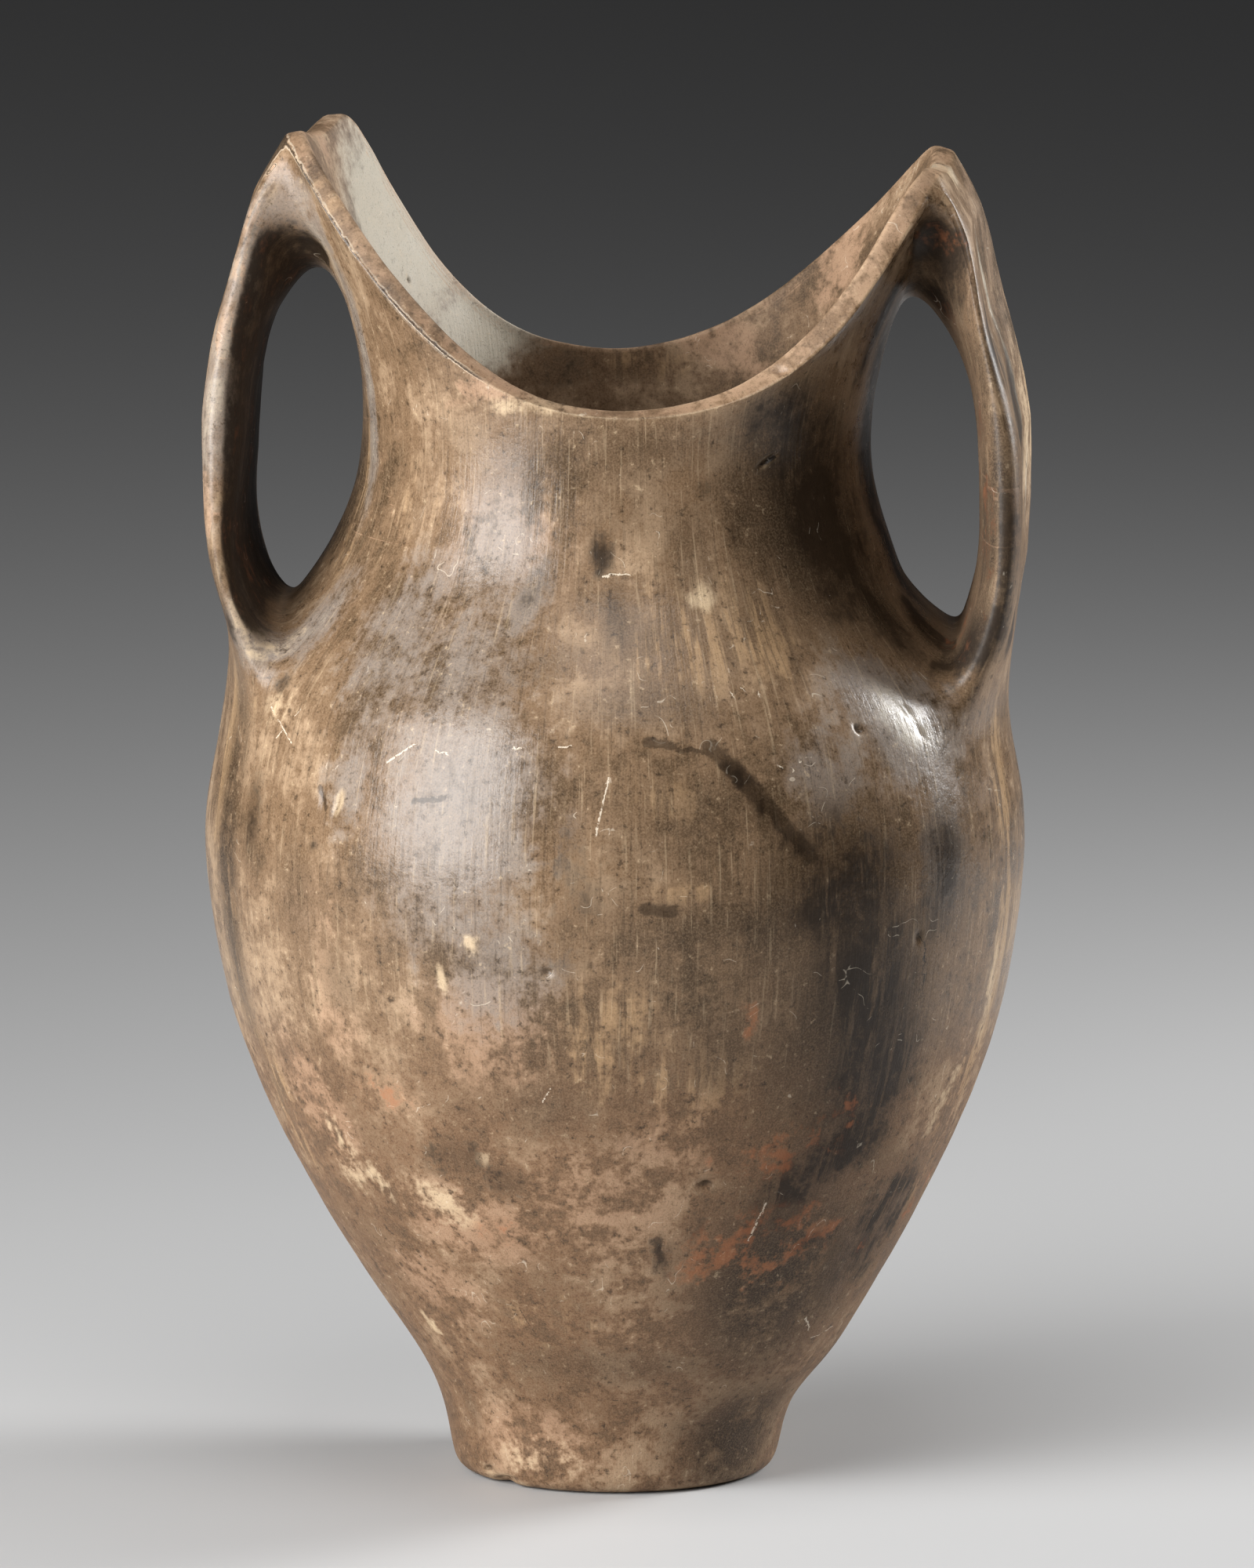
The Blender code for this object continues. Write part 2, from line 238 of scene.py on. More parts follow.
def landingHeight(column, level):
    # the upper line of the landing sinks towards the strap's edges; level 0 is its lower line, 2 its upper
    step = min(quarterOf(column)[0] / vase["strapColumns"], 1.0)
    low = vase["waistHeight"] - sideValue(column, strap["landingDrop"])
    high = low + strap["landingDepth"] - strap["landingSink"] * step ** 2 * wallFade(column)
    return low + (high - low) * 0.5 * level


def outerRows():
    # one rule for each row of the outside, from under the foot up to the rim
    bodyRise = vase["bellyHeight"] - vase["footHeight"]
    landingTop = vase["waistHeight"] - strap["landingDrop"][-1] + strap["landingDepth"]
    heights = [vase["footEdge"], vase["footHeight"]]
    heights += [vase["footHeight"] + bodyRise * share for share in vase["bodyRows"]]
    heights.append(vase["bellyHeight"] + 0.5 * (vase["waistRise"] - strap["landingDrop"][1]))
    rings = [share * vase["footRadius"] for share in vase["footRings"]]
    rows = [lambda c, r=ring: roundPoint(c, 0.0).normalized() * r for ring in rings]
    rows += [lambda c, z=z: roundPoint(c, z) for z in heights]
    landingRow = len(rows)
    rows += [lambda c, k=level: roundPoint(c, landingHeight(c, k)) for level in range(3)]
    for share in vase["shoulderRows"]:
        rows.append(lambda c, z=landingTop + (vase["waistHeight"] - landingTop) * share: roundPoint(c, z))
    rows.append(lambda c: neckPoint(c, 0.5 * vaultShare(c)))
    vaultRow = len(rows)
    rows.append(lambda c: neckPoint(c, vaultShare(c)))
    rows.append(lambda c: neckPoint(c, 0.5 * (1.0 + vaultShare(c))))
    rows.append(lambda c: neckPoint(c, 1.0))
    return rows, landingRow, vaultRow


def spinShell(bm, rows):
    # a turned wall of one face per row and column, each vertex then set by its row's rule
    rowOf = bm.verts.layers.int.new("row")
    profile = []
    for index, rule in enumerate(rows):
        point = rule(0)
        vert = bm.verts.new((math.hypot(point.x, point.y), 0.0, point.z))
        vert[rowOf] = index
        profile.append(vert)
    edges = [bm.edges.new(pair) for pair in zip(profile, profile[1:])]
    bmesh.ops.spin(bm, geom=profile + edges, axis=(0, 0, 1), cent=(0, 0, 0), angle=2 * math.pi,
                   steps=vase["columns"], use_merge=True, use_duplicate=False)
    bmesh.ops.remove_doubles(bm, verts=bm.verts[:], dist=vase["weld"])
    bmesh.ops.recalc_face_normals(bm, faces=bm.faces[:])
    step = 2 * math.pi / vase["columns"]
    columnOf = bm.verts.layers.int.new("column")
    for vert in bm.verts:
        vert[columnOf] = round(math.atan2(vert.co.y, vert.co.x) / step) % vase["columns"]
    for vert in bm.verts:
        vert.co = rows[vert[rowOf]](vert[columnOf])
    return rowOf, columnOf


def strapRoots(side):
    front = vase["mouthCornerX"][cornerName(side, -1)]
    back = vase["mouthCornerX"][cornerName(side, 1)]
    footZ = vase["waistHeight"] - strap["landingDrop"][side] + 0.5 * strap["landingDepth"]
    footX = bodyRadius(footZ) + side * bodyLean(footZ)
    return Vector((0.5 * (front + back), 0.0, peakHeight(side))), Vector((footX, 0.0, footZ))


def strapPoint(side, station, seat):
    # seat is (across, face): across -1 at the front, 1 at the back; face 1 outside, -1 inside, 0 the edge
    across, face = seat
    fall = strap["falls"][station]
    place = (station + 1) / (len(strap["falls"]) + 1)
    top, foot = strapRoots(side)
    flange = top.lerp(foot, fall)
    flange.x += strap["stand"][side][station]
    half = strap["halfTop"] + (strap["halfFoot"] - strap["halfTop"]) * math.sin(0.5 * math.pi * place)
    nearRoot = max(place - strap["rootStart"], 0.0) / (1.0 - strap["rootStart"])
    channel = strap["channel"] * min(place / strap["channelFade"], 1.0) - strap["rootSwell"] * nearRoot ** 2
    arch = max(1.0 - fall / strap["archSpan"], 0.0) ** 2
    bow = 1.0 - across * across
    edge = strap["edge"][side][station]
    thickness = edge + (strap["middle"][side][station] - edge) * bow
    drop = (strap["archEdge"][side] + (strap["archMiddle"] - strap["archEdge"][side]) * bow) * arch
    outer = Vector((side * (flange.x - channel * bow), across * half, flange.z))
    underside = flange.z - drop + strap["rootRise"] * fall ** 4 * bow
    inner = Vector((side * (flange.x - thickness), outer.y, underside))
    point = inner.lerp(outer, 0.5 + 0.5 * face)
    if face == 0:
        point.y += across * strap["round"] * min(1.0, min(place, 1.0 - place) / strap["channelFade"])
    return Matrix.Rotation(vase["bodyTwist"] * place, 3, "Z") @ point


def openPatch(bm, outerFaces, layers, firstRow, side, upperFace):
    # takes out the two rows of wall under a strap and tells each vertex of the hole its seat on the strap
    rowOf, columnOf = layers
    half = 2 * vase["quarter"]
    middle = 0 if side > 0 else half
    reach = vase["strapColumns"]

    def offset(vert):
        return (vert[columnOf] - middle + half) % vase["columns"] - half

    inside = {f for f in outerFaces if f.is_valid and all(
        firstRow <= v[rowOf] <= firstRow + 2 and abs(offset(v)) <= reach for v in f.verts)}
    seats = {v: (side * offset(v) / reach, (v[rowOf] - firstRow - 1) * upperFace)
             for f in inside for v in f.verts}
    edges = {e for f in inside for e in f.edges if any(g not in inside for g in e.link_faces)}
    bmesh.ops.delete(bm, geom=list(inside), context="FACES")
    return [e for e in edges if e.is_valid], {v: seat for v, seat in seats.items() if v.is_valid}


def growStrap(bm, side, top, landing):
    # the strap is drawn out of the peak ring by ring, then let into the shoulder
    edges, seats = top
    handle = bm.verts.layers.float["handle"]
    for station in range(len(strap["falls"])):
        grown = bmesh.ops.extrude_edge_only(bm, edges=edges)["geom"]
        newVerts = {g for g in grown if isinstance(g, bmesh.types.BMVert)}
        newSeats = {}
        for vert in newVerts:
            parent = next(e.other_vert(vert) for e in vert.link_edges if e.other_vert(vert) in seats)
            newSeats[vert] = seats[parent]
            vert.co = strapPoint(side, station, seats[parent])
            vert[handle] = 1.0
        seats = newSeats
        edges = [g for g in grown if isinstance(g, bmesh.types.BMEdge) and newVerts.issuperset(g.verts)]
    bmesh.ops.bridge_loops(bm, edges=edges + landing[0])


def giveWall(bm, outerFaces):
    # the faces look inwards first, so that the wall grows that way; the rim's band then slopes to the outside
    bmesh.ops.reverse_faces(bm, faces=outerFaces)
    bmesh.ops.solidify(bm, geom=outerFaces, thickness=vase["wall"])
    outerVerts = {v for f in outerFaces for v in f.verts}
    inside = bm.verts.layers.float["inside"]
    lip = bm.verts.layers.float["lip"]
    for vert in bm.verts:
        vert[inside] = 0.0 if vert in outerVerts else 1.0
    band = [f for f in bm.faces if 0 < sum(v in outerVerts for v in f.verts) < len(f.verts)]
    crease = bm.edges.layers.float.new("crease_edge")
    raised = set()
    for edge in {e for f in band for e in f.edges}:
        outer = sum(v in outerVerts for v in edge.verts)
        if outer == 2:
            edge[crease] = vase["bandCrease"]
            for vert in edge.verts:
                vert[lip] = 1.0
        elif outer == 0:
            edge[crease] = vase["lipCrease"]
            raised.update(edge.verts)
    columnOf = bm.verts.layers.int["column"]
    for vert in raised:
        fade = wallFade(vert[columnOf])
        vert.co.z += vase["rimBevel"] * (1.0 - fade ** 2) - vase["peakRub"] * fade


def buildVaseMesh():
    bm = bmesh.new()
    for zone in ("inside", "handle", "lip"):
        bm.verts.layers.float.new(zone)
    rows, landingRow, vaultRow = outerRows()
    layers = spinShell(bm, rows)
    outerFaces = bm.faces[:]
    giveWall(bm, outerFaces)
    for side in (1, -1):
        top = openPatch(bm, outerFaces, layers, vaultRow, side, 1)
        landing = openPatch(bm, outerFaces, layers, landingRow, side, -1)
        growStrap(bm, side, top, landing)
    mesh = bpy.data.meshes.new("vaseCage")
    bm.to_mesh(mesh)
    bm.free()
    return mesh


def smoothClay(cage):
    # subdivides the cage into fine clay and keeps the result as the mesh to sculpt
    cageObject = putInScene("vaseCage", cage)
    smooth = cageObject.modifiers.new("smooth", "SUBSURF")
    smooth.levels = smooth.render_levels = vase["smoothing"]
    graph = bpy.context.evaluated_depsgraph_get()
    fine = bpy.data.meshes.new_from_object(cageObject.evaluated_get(graph))
    bpy.data.objects.remove(cageObject, do_unlink=True)
    return fine


# How the photograph looks at the vase: 1600 x 2000 pixels, aimed a little above the belly
photo = {
    "width": 1600,
    "height": 2000,
    "claySize": 0.0002435,
    "distance": 5.04,
    "azimuth": math.radians(5.0),
    "elevation": math.radians(9.4),
    "aim": (0.00364, 0.00032, 0.2153),
    "sensor": 36.0,
    "clipEnd": 40.0,
}


def towards(azimuth, elevation):
    return Vector((math.sin(azimuth) * math.cos(elevation), -math.cos(azimuth) * math.cos(elevation),
                   math.sin(elevation)))


def addCamera():
    lens = bpy.data.cameras.new("photoCamera")
    lens.sensor_width = photo["sensor"]
    lens.lens = photo["sensor"] * photo["distance"] / (photo["height"] * photo["claySize"])
    lens.clip_end = photo["clipEnd"]
    camera = putInScene("photoCamera", lens)
    back = towards(photo["azimuth"], photo["elevation"])
    camera.location = Vector(photo["aim"]) + back * photo["distance"]
    camera.rotation_mode = "QUATERNION"
    camera.rotation_quaternion = (-back).to_track_quat("-Z", "Y")
    bpy.context.scene.camera = camera
    return camera


# Soft boxes: azimuth and elevation from the vase's middle in degrees, distance, width, height, power in watts
lights = {
    "keyBox": (-46, 20, 1.5, 0.92, 1.12, 44),
    "rimBox": (116, 24, 1.5, 0.34, 0.70, 26),
    "topBox": (10, 66, 1.6, 0.80, 0.80, 9),
    "fillBox": (12, 8, 3.0, 1.60, 1.60, 2),
}
studio = {
    "worldColour": (0.98, 0.98, 1.00),
    "worldStrength": 0.030,
    "floorColour": (0.48, 0.48, 0.48),
    "floorRoughness": 0.6,
    "floorSize": 60.0,
}


def addLights():
    middle = Vector((0.0, 0.0, 0.5 * vase["mouthLow"]))
    for name, (azimuth, elevation, distance, width, height, power) in lights.items():
        area = bpy.data.lights.new(name, "AREA")
        area.shape = "RECTANGLE"
        area.size = width
        area.size_y = height
        area.energy = power
        lamp = putInScene(name, area)
        out = towards(math.radians(azimuth), math.radians(elevation))
        lamp.location = middle + out * distance
        lamp.rotation_euler = out.to_track_quat("Z", "Y").to_euler()


def addStudio():
    world = bpy.data.worlds.new("paleStudio")
    world.use_nodes = True
    sky = world.node_tree.nodes["Background"]
    sky.inputs["Color"].default_value = (*studio["worldColour"], 1.0)
    sky.inputs["Strength"].default_value = studio["worldStrength"]
    bpy.context.scene.world = world
    bm = bmesh.new()
    bmesh.ops.create_grid(bm, x_segments=1, y_segments=1, size=0.5 * studio["floorSize"])
    mesh = bpy.data.meshes.new("studioFloor")
    bm.to_mesh(mesh)
    bm.free()
    paint = bpy.data.materials.new("studioFloor")
    paint.use_nodes = True
    shader = paint.node_tree.nodes["Principled BSDF"]
    shader.inputs["Base Color"].default_value = (*studio["floorColour"], 1.0)
    shader.inputs["Roughness"].default_value = studio["floorRoughness"]
    mesh.materials.append(paint)
    floor = putInScene("studioFloor", mesh)


def seenFrom(camera):
    # turns a pixel of the photograph into a point on the vase
    turn = camera.rotation_quaternion.to_matrix()
    aim = Vector(photo["aim"])

    def onVase(tree, pixel):
        x, y = pixel
        across = (x - 0.5 * photo["width"]) * photo["claySize"]
        up = (0.5 * photo["height"] - y) * photo["claySize"]
        target = aim + turn.col[0] * across + turn.col[1] * up
        hit, normal = tree.ray_cast(camera.location, (target - camera.location).normalized())[:2]
        return (hit, normal) if hit else tree.find_nearest(target)[:2]

    return onVase


# Dents of the maker's hands: size of a swell, its depth, and where its pattern starts
unevenness = {
    "palm": (0.060, 0.00085, 3.1),
    "finger": (0.021, 0.00032, 8.7),
    "tool": (0.0085, 0.00011, 5.3),
}
footFade = 0.012  # height above the floor over which the dents fade in

# Hollows in the clay: centre, half width and half height in photo pixels, tilt in degrees, depth in metres
hollows = {
    "strawHole": ((698, 1240), (7, 4), 0, 0.0022),
    "grainHole": ((754, 1233), (3, 3), 0, 0.0012),
    "lowerHole": ((901, 1511), (9, 4), 0, 0.0026),
    "shoulderHole": ((1095, 929), (4, 6), 20, 0.0016),
    "shoulderDent": ((1156, 904), (7, 14), 28, 0.0004),
    "shoulderNick": ((1174, 934), (6, 8), 20, 0.0003),
    "neckSlit": ((979, 588), (13, 3), 28, 0.0012),
    "wallPinhole": ((522, 358), (3, 3), 0, 0.0012),
    "footChip": ((641, 1894), (17, 5), 8, 0.0028),
    "footNick": ((598, 1886), (8, 4), 14, 0.0012),
    "crackEnd": ((1172, 1196), (5, 7), 0, 0.0010),
    "rimNick": ((994, 473), (6, 4), 0, 0.0014),
    "strawDent": ((412, 1017), (6, 16), 14, 0.0007),
    "leafDent": ((430, 1028), (6, 17), -16, 0.0006),
    "scarDent": ((566, 1245), (13, 22), 12, 0.0004),
}
# Wider dents, laid the same way, which need no finer mesh
dents = {
    "rightRecess": ((1203, 300), (24, 60), -8, 0.0030),
    "leftRecess": ((366, 318), (20, 26), 0, 0.0016),
}
# The mesh around a hollow is halved this often, this many of its mean half sizes out
finerClay = {"rounds": 2, "reach": 2.2}
# How many of its larger half sizes a mark reaches, the value beyond, and how firm a cloud's edge is
markRule = {"reach": 3.5, "beyond": 99.0, "edgePower": 1.3}


def unrolled(points):
    # way round the vase from the front, and height
    return np.arctan2(points[:, 0], -points[:, 1]), points[:, 2]


def ellipseShare(points, normals, spot, half, tilt):
    # squared distance from a mark's centre in its half sizes, on the side of the wall that faces its way
    centre, facing = spot
    around, height = unrolled(points)
    middle = math.atan2(centre.x, -centre.y)
    across = (around - middle + math.pi) % (2 * math.pi) - math.pi
    across = across * math.hypot(centre.x, centre.y)
    up = height - centre.z
    turn = math.radians(tilt)
    along = across * math.cos(turn) + up * math.sin(turn)
    over = up * math.cos(turn) - across * math.sin(turn)
    near = np.linalg.norm(points - np.array(centre), axis=1) < markRule["reach"] * max(half)
    near &= normals @ np.array(facing) > 0.0
    return np.where(near, (along / half[0]) ** 2 + (over / half[1]) ** 2, markRule["beyond"])


def rowsOf(source, name):
    rows = np.empty(len(source) * 3)
    source.foreach_get(name, rows)
    return rows.reshape(-1, 3)


def clayShape(mesh):
    return rowsOf(mesh.vertices, "co"), rowsOf(mesh.vertex_normals, "vector")


def clayTree(mesh):
    return BVHTree.FromPolygons([v.co for v in mesh.vertices], [p.vertices for p in mesh.polygons])


def pressByHand(mesh):
    # the low unevenness of a coil-built wall
    moved, normals = clayShape(mesh)
    for index, point in enumerate(moved):
        push = 0.0
        for size, depth, seed in unevenness.values():
            push += depth * noise.noise(Vector(point) / size + Vector((seed,) * 3))
        push *= min(point[2] / footFade, 1.0)
        moved[index] = point + normals[index] * push
    mesh.vertices.foreach_set("co", moved.ravel())
    mesh.update()


def markHollows(mesh, onVase):
    # finer clay around each hollow, then the hollows and dents themselves
    tree = clayTree(mesh)
    size = photo["claySize"]

    def placed(marks):
        return [(onVase(tree, spot), (w * size, h * size), tilt, depth)
                for spot, (w, h), tilt, depth in marks.values()]

    places = placed(hollows)
    bm = bmesh.new()
    bm.from_mesh(mesh)
    for finer in range(finerClay["rounds"]):
        bm.faces.ensure_lookup_table()
        tree = BVHTree.FromBMesh(bm)
        close = set()
        for spot, half, tilt, depth in places:
            found = tree.find_nearest_range(spot[0], finerClay["reach"] * 0.5 * sum(half))
            close.update(e for face in found for e in bm.faces[face[2]].edges)
        bmesh.ops.subdivide_edges(bm, edges=list(close), cuts=1, use_grid_fill=True)
    bm.to_mesh(mesh)
    bm.free()
    points, normals = clayShape(mesh)
    for spot, half, tilt, depth in places + placed(dents):
        share = ellipseShare(points, normals, spot, half, tilt)
        points -= normals * (depth * np.exp(-share))[:, None]
    mesh.vertices.foreach_set("co", points.ravel())
    mesh.update()


# Clouds of colour in photo pixels: centre x and y, half width, half height, strength, any tilt in degrees
clouds = {}
clouds["ochre"] = {
    "leftEdgeHigh": (292, 960, 26, 120, 0.75),
    "leftEdgeLow": (296, 1180, 24, 120, 0.7),
    "leftEdgeFoot": (352, 1370, 26, 110, 0.55, 22),
    "leftShoulderTan": (330, 900, 46, 34, 0.4),
    "neckLeft": (468, 620, 22, 130, 0.5, 6),
    "neckTan": (540, 640, 70, 90, 0.2),
    "neck": (700, 640, 70, 34, 0.25),
    "centre": (870, 815, 90, 80, 0.5),
    "right": (965, 800, 44, 80, 0.55, 24),
    "rightEdgeHigh": (1278, 1000, 30, 110, 0.75),
    "rightEdgeMid": (1278, 1200, 34, 130, 0.85),
    "rightEdgeLow": (1222, 1390, 34, 100, 0.75, -20),
    "rightEdgeGold": (1160, 1520, 30, 60, 0.85, -28),
    "bellyTan": (850, 1020, 60, 34, 0.45),
    "bellyTanLow": (872, 1140, 76, 14, 0.34),
    "centreGold": (770, 1330, 70, 90, 0.45),
    "centreEmber": (880, 1400, 100, 80, 0.55),
    "roseEdge": (378, 1440, 22, 70, 0.6, 26),
    "goldSkirt": (700, 1690, 80, 50, 0.36),
    "footGold": (965, 1850, 24, 34, 0.5),
    "rimLeftTan": (412, 250, 20, 50, 0.6, 35),
    "inner": (820, 465, 60, 24, 0.5),
}
clouds["rose"] = {
    "left": (395, 1190, 60, 90, 0.4),
    "neck": (640, 690, 90, 80, 0.34),
    "belly": (620, 1310, 100, 80, 0.62),
    "centreEmber": (860, 1450, 80, 60, 0.45),
    "roseLeft": (402, 1400, 50, 90, 0.85, 20),
    "leftHigh": (430, 1310, 46, 50, 0.55),
    "wide": (600, 1560, 96, 48, 0.95, -6),
    "low": (560, 1640, 70, 50, 0.55, -20),
    "centre": (760, 1540, 110, 80, 0.5),
    "foot": (680, 1840, 90, 56, 0.6),
    "rimFront": (640, 490, 110, 20, 0.75, 14),
    "peak": (356, 235, 30, 40, 0.3),
    "backPeak": (410, 180, 22, 30, 0.6),
    "inner": (930, 440, 80, 34, 0.6, 20),
    "innerHigh": (1070, 330, 60, 60, 0.75, 40),
}
clouds["slate"] = {
    "left": (440, 1000, 45, 80, 0.5),
    "funnel": (400, 800, 50, 80, 0.6, -20),
    "neck": (440, 400, 40, 110, 0.45, 30),
    # grey clay that also paints the key light's broad sheen on the belly, where slate also lowers the
    # roughness
    "belly": (590, 1050, 120, 210, 0.75),
    "bellyLow": (630, 1240, 90, 90, 0.6),
    "shoulder": (600, 860, 100, 100, 0.66),
    "leftShoulder": (500, 820, 80, 120, 0.6),
    "landingGrey": (398, 800, 36, 66, 0.9, -24),
    "peak": (340, 262, 30, 60, 0.66, -28),
    # grey clay that also paints the key light's sheen on the neck
    "neckSheen": (630, 710, 64, 110, 0.56),
    "leafShade": (672, 770, 26, 66, 0.75, -24),
    # painted sheen: grey where the right light's highlight lies on the right shoulder, where slate also
    # lowers the roughness
    "gloss": (1150, 920, 110, 76, 0.95, -30),
    "glossLow": (1060, 980, 70, 70, 0.6, -30),
    "blue": (1205, 1080, 50, 86, 0.95),
    "ribHigh": (312, 340, 26, 110, 0.95, -8),
    "ribMid": (280, 500, 30, 160, 1.0),
    "ribLow": (300, 690, 26, 130, 0.95, 16),
}
clouds["pale"] = {
    "inner": (500, 285, 150, 150, 0.78, 20),
    # pale clay on the right strap's far flange, painted paler still where the right light falls on it
    "flangeHigh": (1256, 360, 13, 84, 0.5, 16),
    "flangeMid": (1291, 480, 13, 84, 0.5, 12),
    "flangeLow": (1309, 610, 11, 90, 0.4),
    # pale clay of the right peak's knob, with a painted highlight where the light glances off it
    "peak": (1212, 218, 26, 20, 0.5),
    "landing": (392, 806, 26, 54, 0.22, -24),
    # painted highlight: paler clay where the right light's sheen lies on the right shoulder
    "gloss": (1160, 922, 74, 38, 0.34, -38),
    "ribHigh": (306, 330, 18, 110, 0.24, -8),
    "ribMid": (280, 500, 18, 150, 0.26),
    "ribLow": (296, 690, 18, 130, 0.24, 14),
    "innerLow": (610, 420, 140, 60, 0.78, -20),
}
clouds["buff"] = {
    "leftShoulderPale": (352, 905, 34, 26, 0.45),
    "centre": (893, 763, 22, 18, 0.7),
    "rightEdge": (1262, 1260, 20, 90, 0.4, 6),
    "rightEdgePale": (1205, 1400, 16, 90, 0.4, -20),
    "streak": (430, 1445, 9, 36, 0.9, 24),
    "streakLow": (490, 1512, 10, 34, 0.85, 30),
    "streakFoot": (548, 1684, 7, 26, 0.8, 36),
    "wide": (565, 1535, 54, 24, 0.62, -14),
    "umberPale": (618, 1478, 13, 11, 0.75),
    "foot": (690, 1860, 60, 34, 0.4),
    "lowLeft": (450, 1490, 40, 50, 0.26, 20),
    "rimFront": (700, 515, 110, 12, 0.55, 4),
    "ribLow": (322, 800, 16, 50, 0.45, 22),
    # buff on the right peak's knob, partly a painted highlight where the light glances off it
    "rightPeakPale": (1200, 215, 34, 24, 0.75),
    "leafHigh": (432, 1027, 8, 18, 0.9, -14),
    "flakeTip": (563, 1246, 9, 22, 0.9, 14),
    "flakeSpot": (600, 1206, 9, 12, 0.8),
    "ochreFlake": (400, 968, 13, 6, 0.85),
    "speck": (994, 1224, 7, 7, 0.8),
}
clouds["umber"] = {
    "belly": (900, 1050, 110, 60, 0.55),
    "foot": (1000, 1650, 130, 120, 0.88, 20),
    "skirt": (790, 1742, 170, 34, 0.54),
    "footUmber": (940, 1830, 90, 80, 1.0),
    "footLeft": (600, 1790, 20, 40, 0.43),
    "neck": (800, 640, 100, 60, 0.38),
    "neckBand": (760, 575, 230, 60, 0.53, 2),
    "left": (430, 1250, 30, 60, 0.42, 12),
    "centre": (700, 1420, 60, 40, 0.5),
    "centreUmber": (790, 800, 26, 46, 0.6),
    "centreLow": (700, 850, 60, 26, 0.45, 20),
    "leftMottle": (380, 1150, 40, 90, 0.5, 8),
    "bellyMottle": (870, 1200, 90, 50, 0.62),
    "shoulderMottle": (820, 900, 110, 30, 0.48),
    "neckMottleOne": (880, 700, 46, 70, 0.5),
    "neckMottleTwo": (950, 640, 50, 70, 0.81, 14),
    "leftEdgeShade": (288, 1080, 38, 260, 1.0),
    "darkLeft": (990, 1190, 90, 80, 0.74),
    "emberDark": (930, 1340, 60, 60, 0.6),
    "strap": (1257, 680, 22, 120, 1.0, 2),
    "lowRight": (985, 1640, 130, 140, 1.0, 16),
    "darkHalo": (1090, 1280, 150, 250, 0.8),
    # umber on the right neck, partly painted shade where the neck turns from the light
    "neckRight": (1010, 640, 110, 160, 0.85, 10),
    "blueHalo": (1215, 1100, 70, 130, 0.6),
    # painted shade in the right strap's groove, between its ridge and its far flange
    "strapGroove": (1270, 630, 8, 190, 0.95, 1),
    "strapFoot": (1235, 815, 40, 76, 1.0, 14),
    "neckTopShade": (700, 560, 150, 24, 0.42, 6),
    "bellyLine": (800, 1100, 40, 110, 0.36),
    "innerRecess": (402, 212, 18, 30, 0.9),
    "innerLine": (760, 478, 120, 14, 0.34),
}
# Soot and painted shade: near-black clouds of real soot, and of painted shade and shadow where the light
# doesn't reach
clouds["sootAndShade"] = {
    "landingSpot": (360, 872, 12, 13, 0.66),
    "leftEdgeDark": (322, 1040, 22, 66, 0.62),
    # painted shade: the right neck, turned away from the key light and shadowed by the right handle from the
    # right light
    "neckShadeHigh": (1010, 545, 90, 60, 0.7),
    "neckShade": (1050, 660, 90, 150, 1.0, 16),
    "neckShadeFar": (1105, 560, 40, 150, 1.0),
    "neckShadeLow": (1120, 780, 44, 66, 0.95, 30),
    "leafDark": (690, 740, 18, 44, 0.34, -26),
    "slateBlueDark": (1200, 1110, 54, 90, 0.9),
    "darkHigh": (1080, 1130, 96, 90, 0.95),
    "darkMiddle": (1110, 1260, 84, 110, 1.0),
    "darkLow": (1110, 1380, 84, 100, 1.0, -8),
    "darkFoot": (1055, 1480, 96, 46, 1.0, 34),
    "darkFootLow": (985, 1560, 40, 50, 0.5, -20),
    "bellyStripe": (730, 1120, 34, 80, 0.42, 16),
    "bellyStripeLow": (715, 1200, 26, 60, 0.3),
    "emberDarkLow": (920, 1440, 40, 24, 0.5),
    "umberLeft": (588, 1478, 48, 32, 0.7),
    "umberMiddle": (642, 1508, 38, 24, 0.75, -10),
    "umberDrop": (507, 1543, 13, 20, 0.6),
    "umberSpot": (842, 1602, 15, 30, 0.6, 20),
    "umberTrail": (893, 1545, 14, 44, 0.45, -8),
    "innerBrown": (720, 465, 60, 30, 0.4),
    "rightFlank": (1120, 1560, 66, 100, 0.8, -24),
    # painted shade in the hollow under the left handle's front tip
    "leftRecess": (364, 310, 30, 44, 1.0),
    # painted shadow: the neck seen through the right handle's opening, which the strap keeps from the right
    # light
    "openingShadowHigh": (1128, 400, 18, 90, 1.0, -22),
    "openingShadowMid": (1112, 540, 26, 120, 1.0),
    "openingShadowLow": (1134, 700, 28, 80, 1.0, 16),
    "openingShadowFoot": (1178, 800, 50, 30, 1.0, 34),
    # painted shade in the recess under the right peak's knob and under the strap's arch
    "archShade": (1196, 376, 40, 34, 0.9),
    "recessShade": (1205, 318, 38, 92, 1.0, -8),
    # soot with painted shade on the left strap's inner side, which faces away from the key light
    "strapInnerLeft": (326, 500, 16, 150, 1.0, 2),
    "strapRoot": (1235, 830, 34, 56, 0.9),
    "trailTop": (942, 990, 26, 11, 0.95, -48),
    "trailMiddle": (976, 1034, 30, 13, 0.95, -57),
    "trailLow": (1014, 1082, 32, 12, 0.95, -48),
    "trailEnd": (1056, 1106, 22, 15, 0.95, -8),
    "patchHigh": (768, 706, 15, 32, 0.8, -8),
    "patchLow": (782, 768, 15, 28, 0.74, -6),
    "neckSpotHigh": (894, 622, 14, 16, 0.7),
    "neckSpotLow": (938, 686, 12, 20, 0.7),
    "greySpot": (401, 1076, 10, 10, 0.8),
    "lowDashRight": (1026, 1588, 24, 9, 0.7, 14),
}
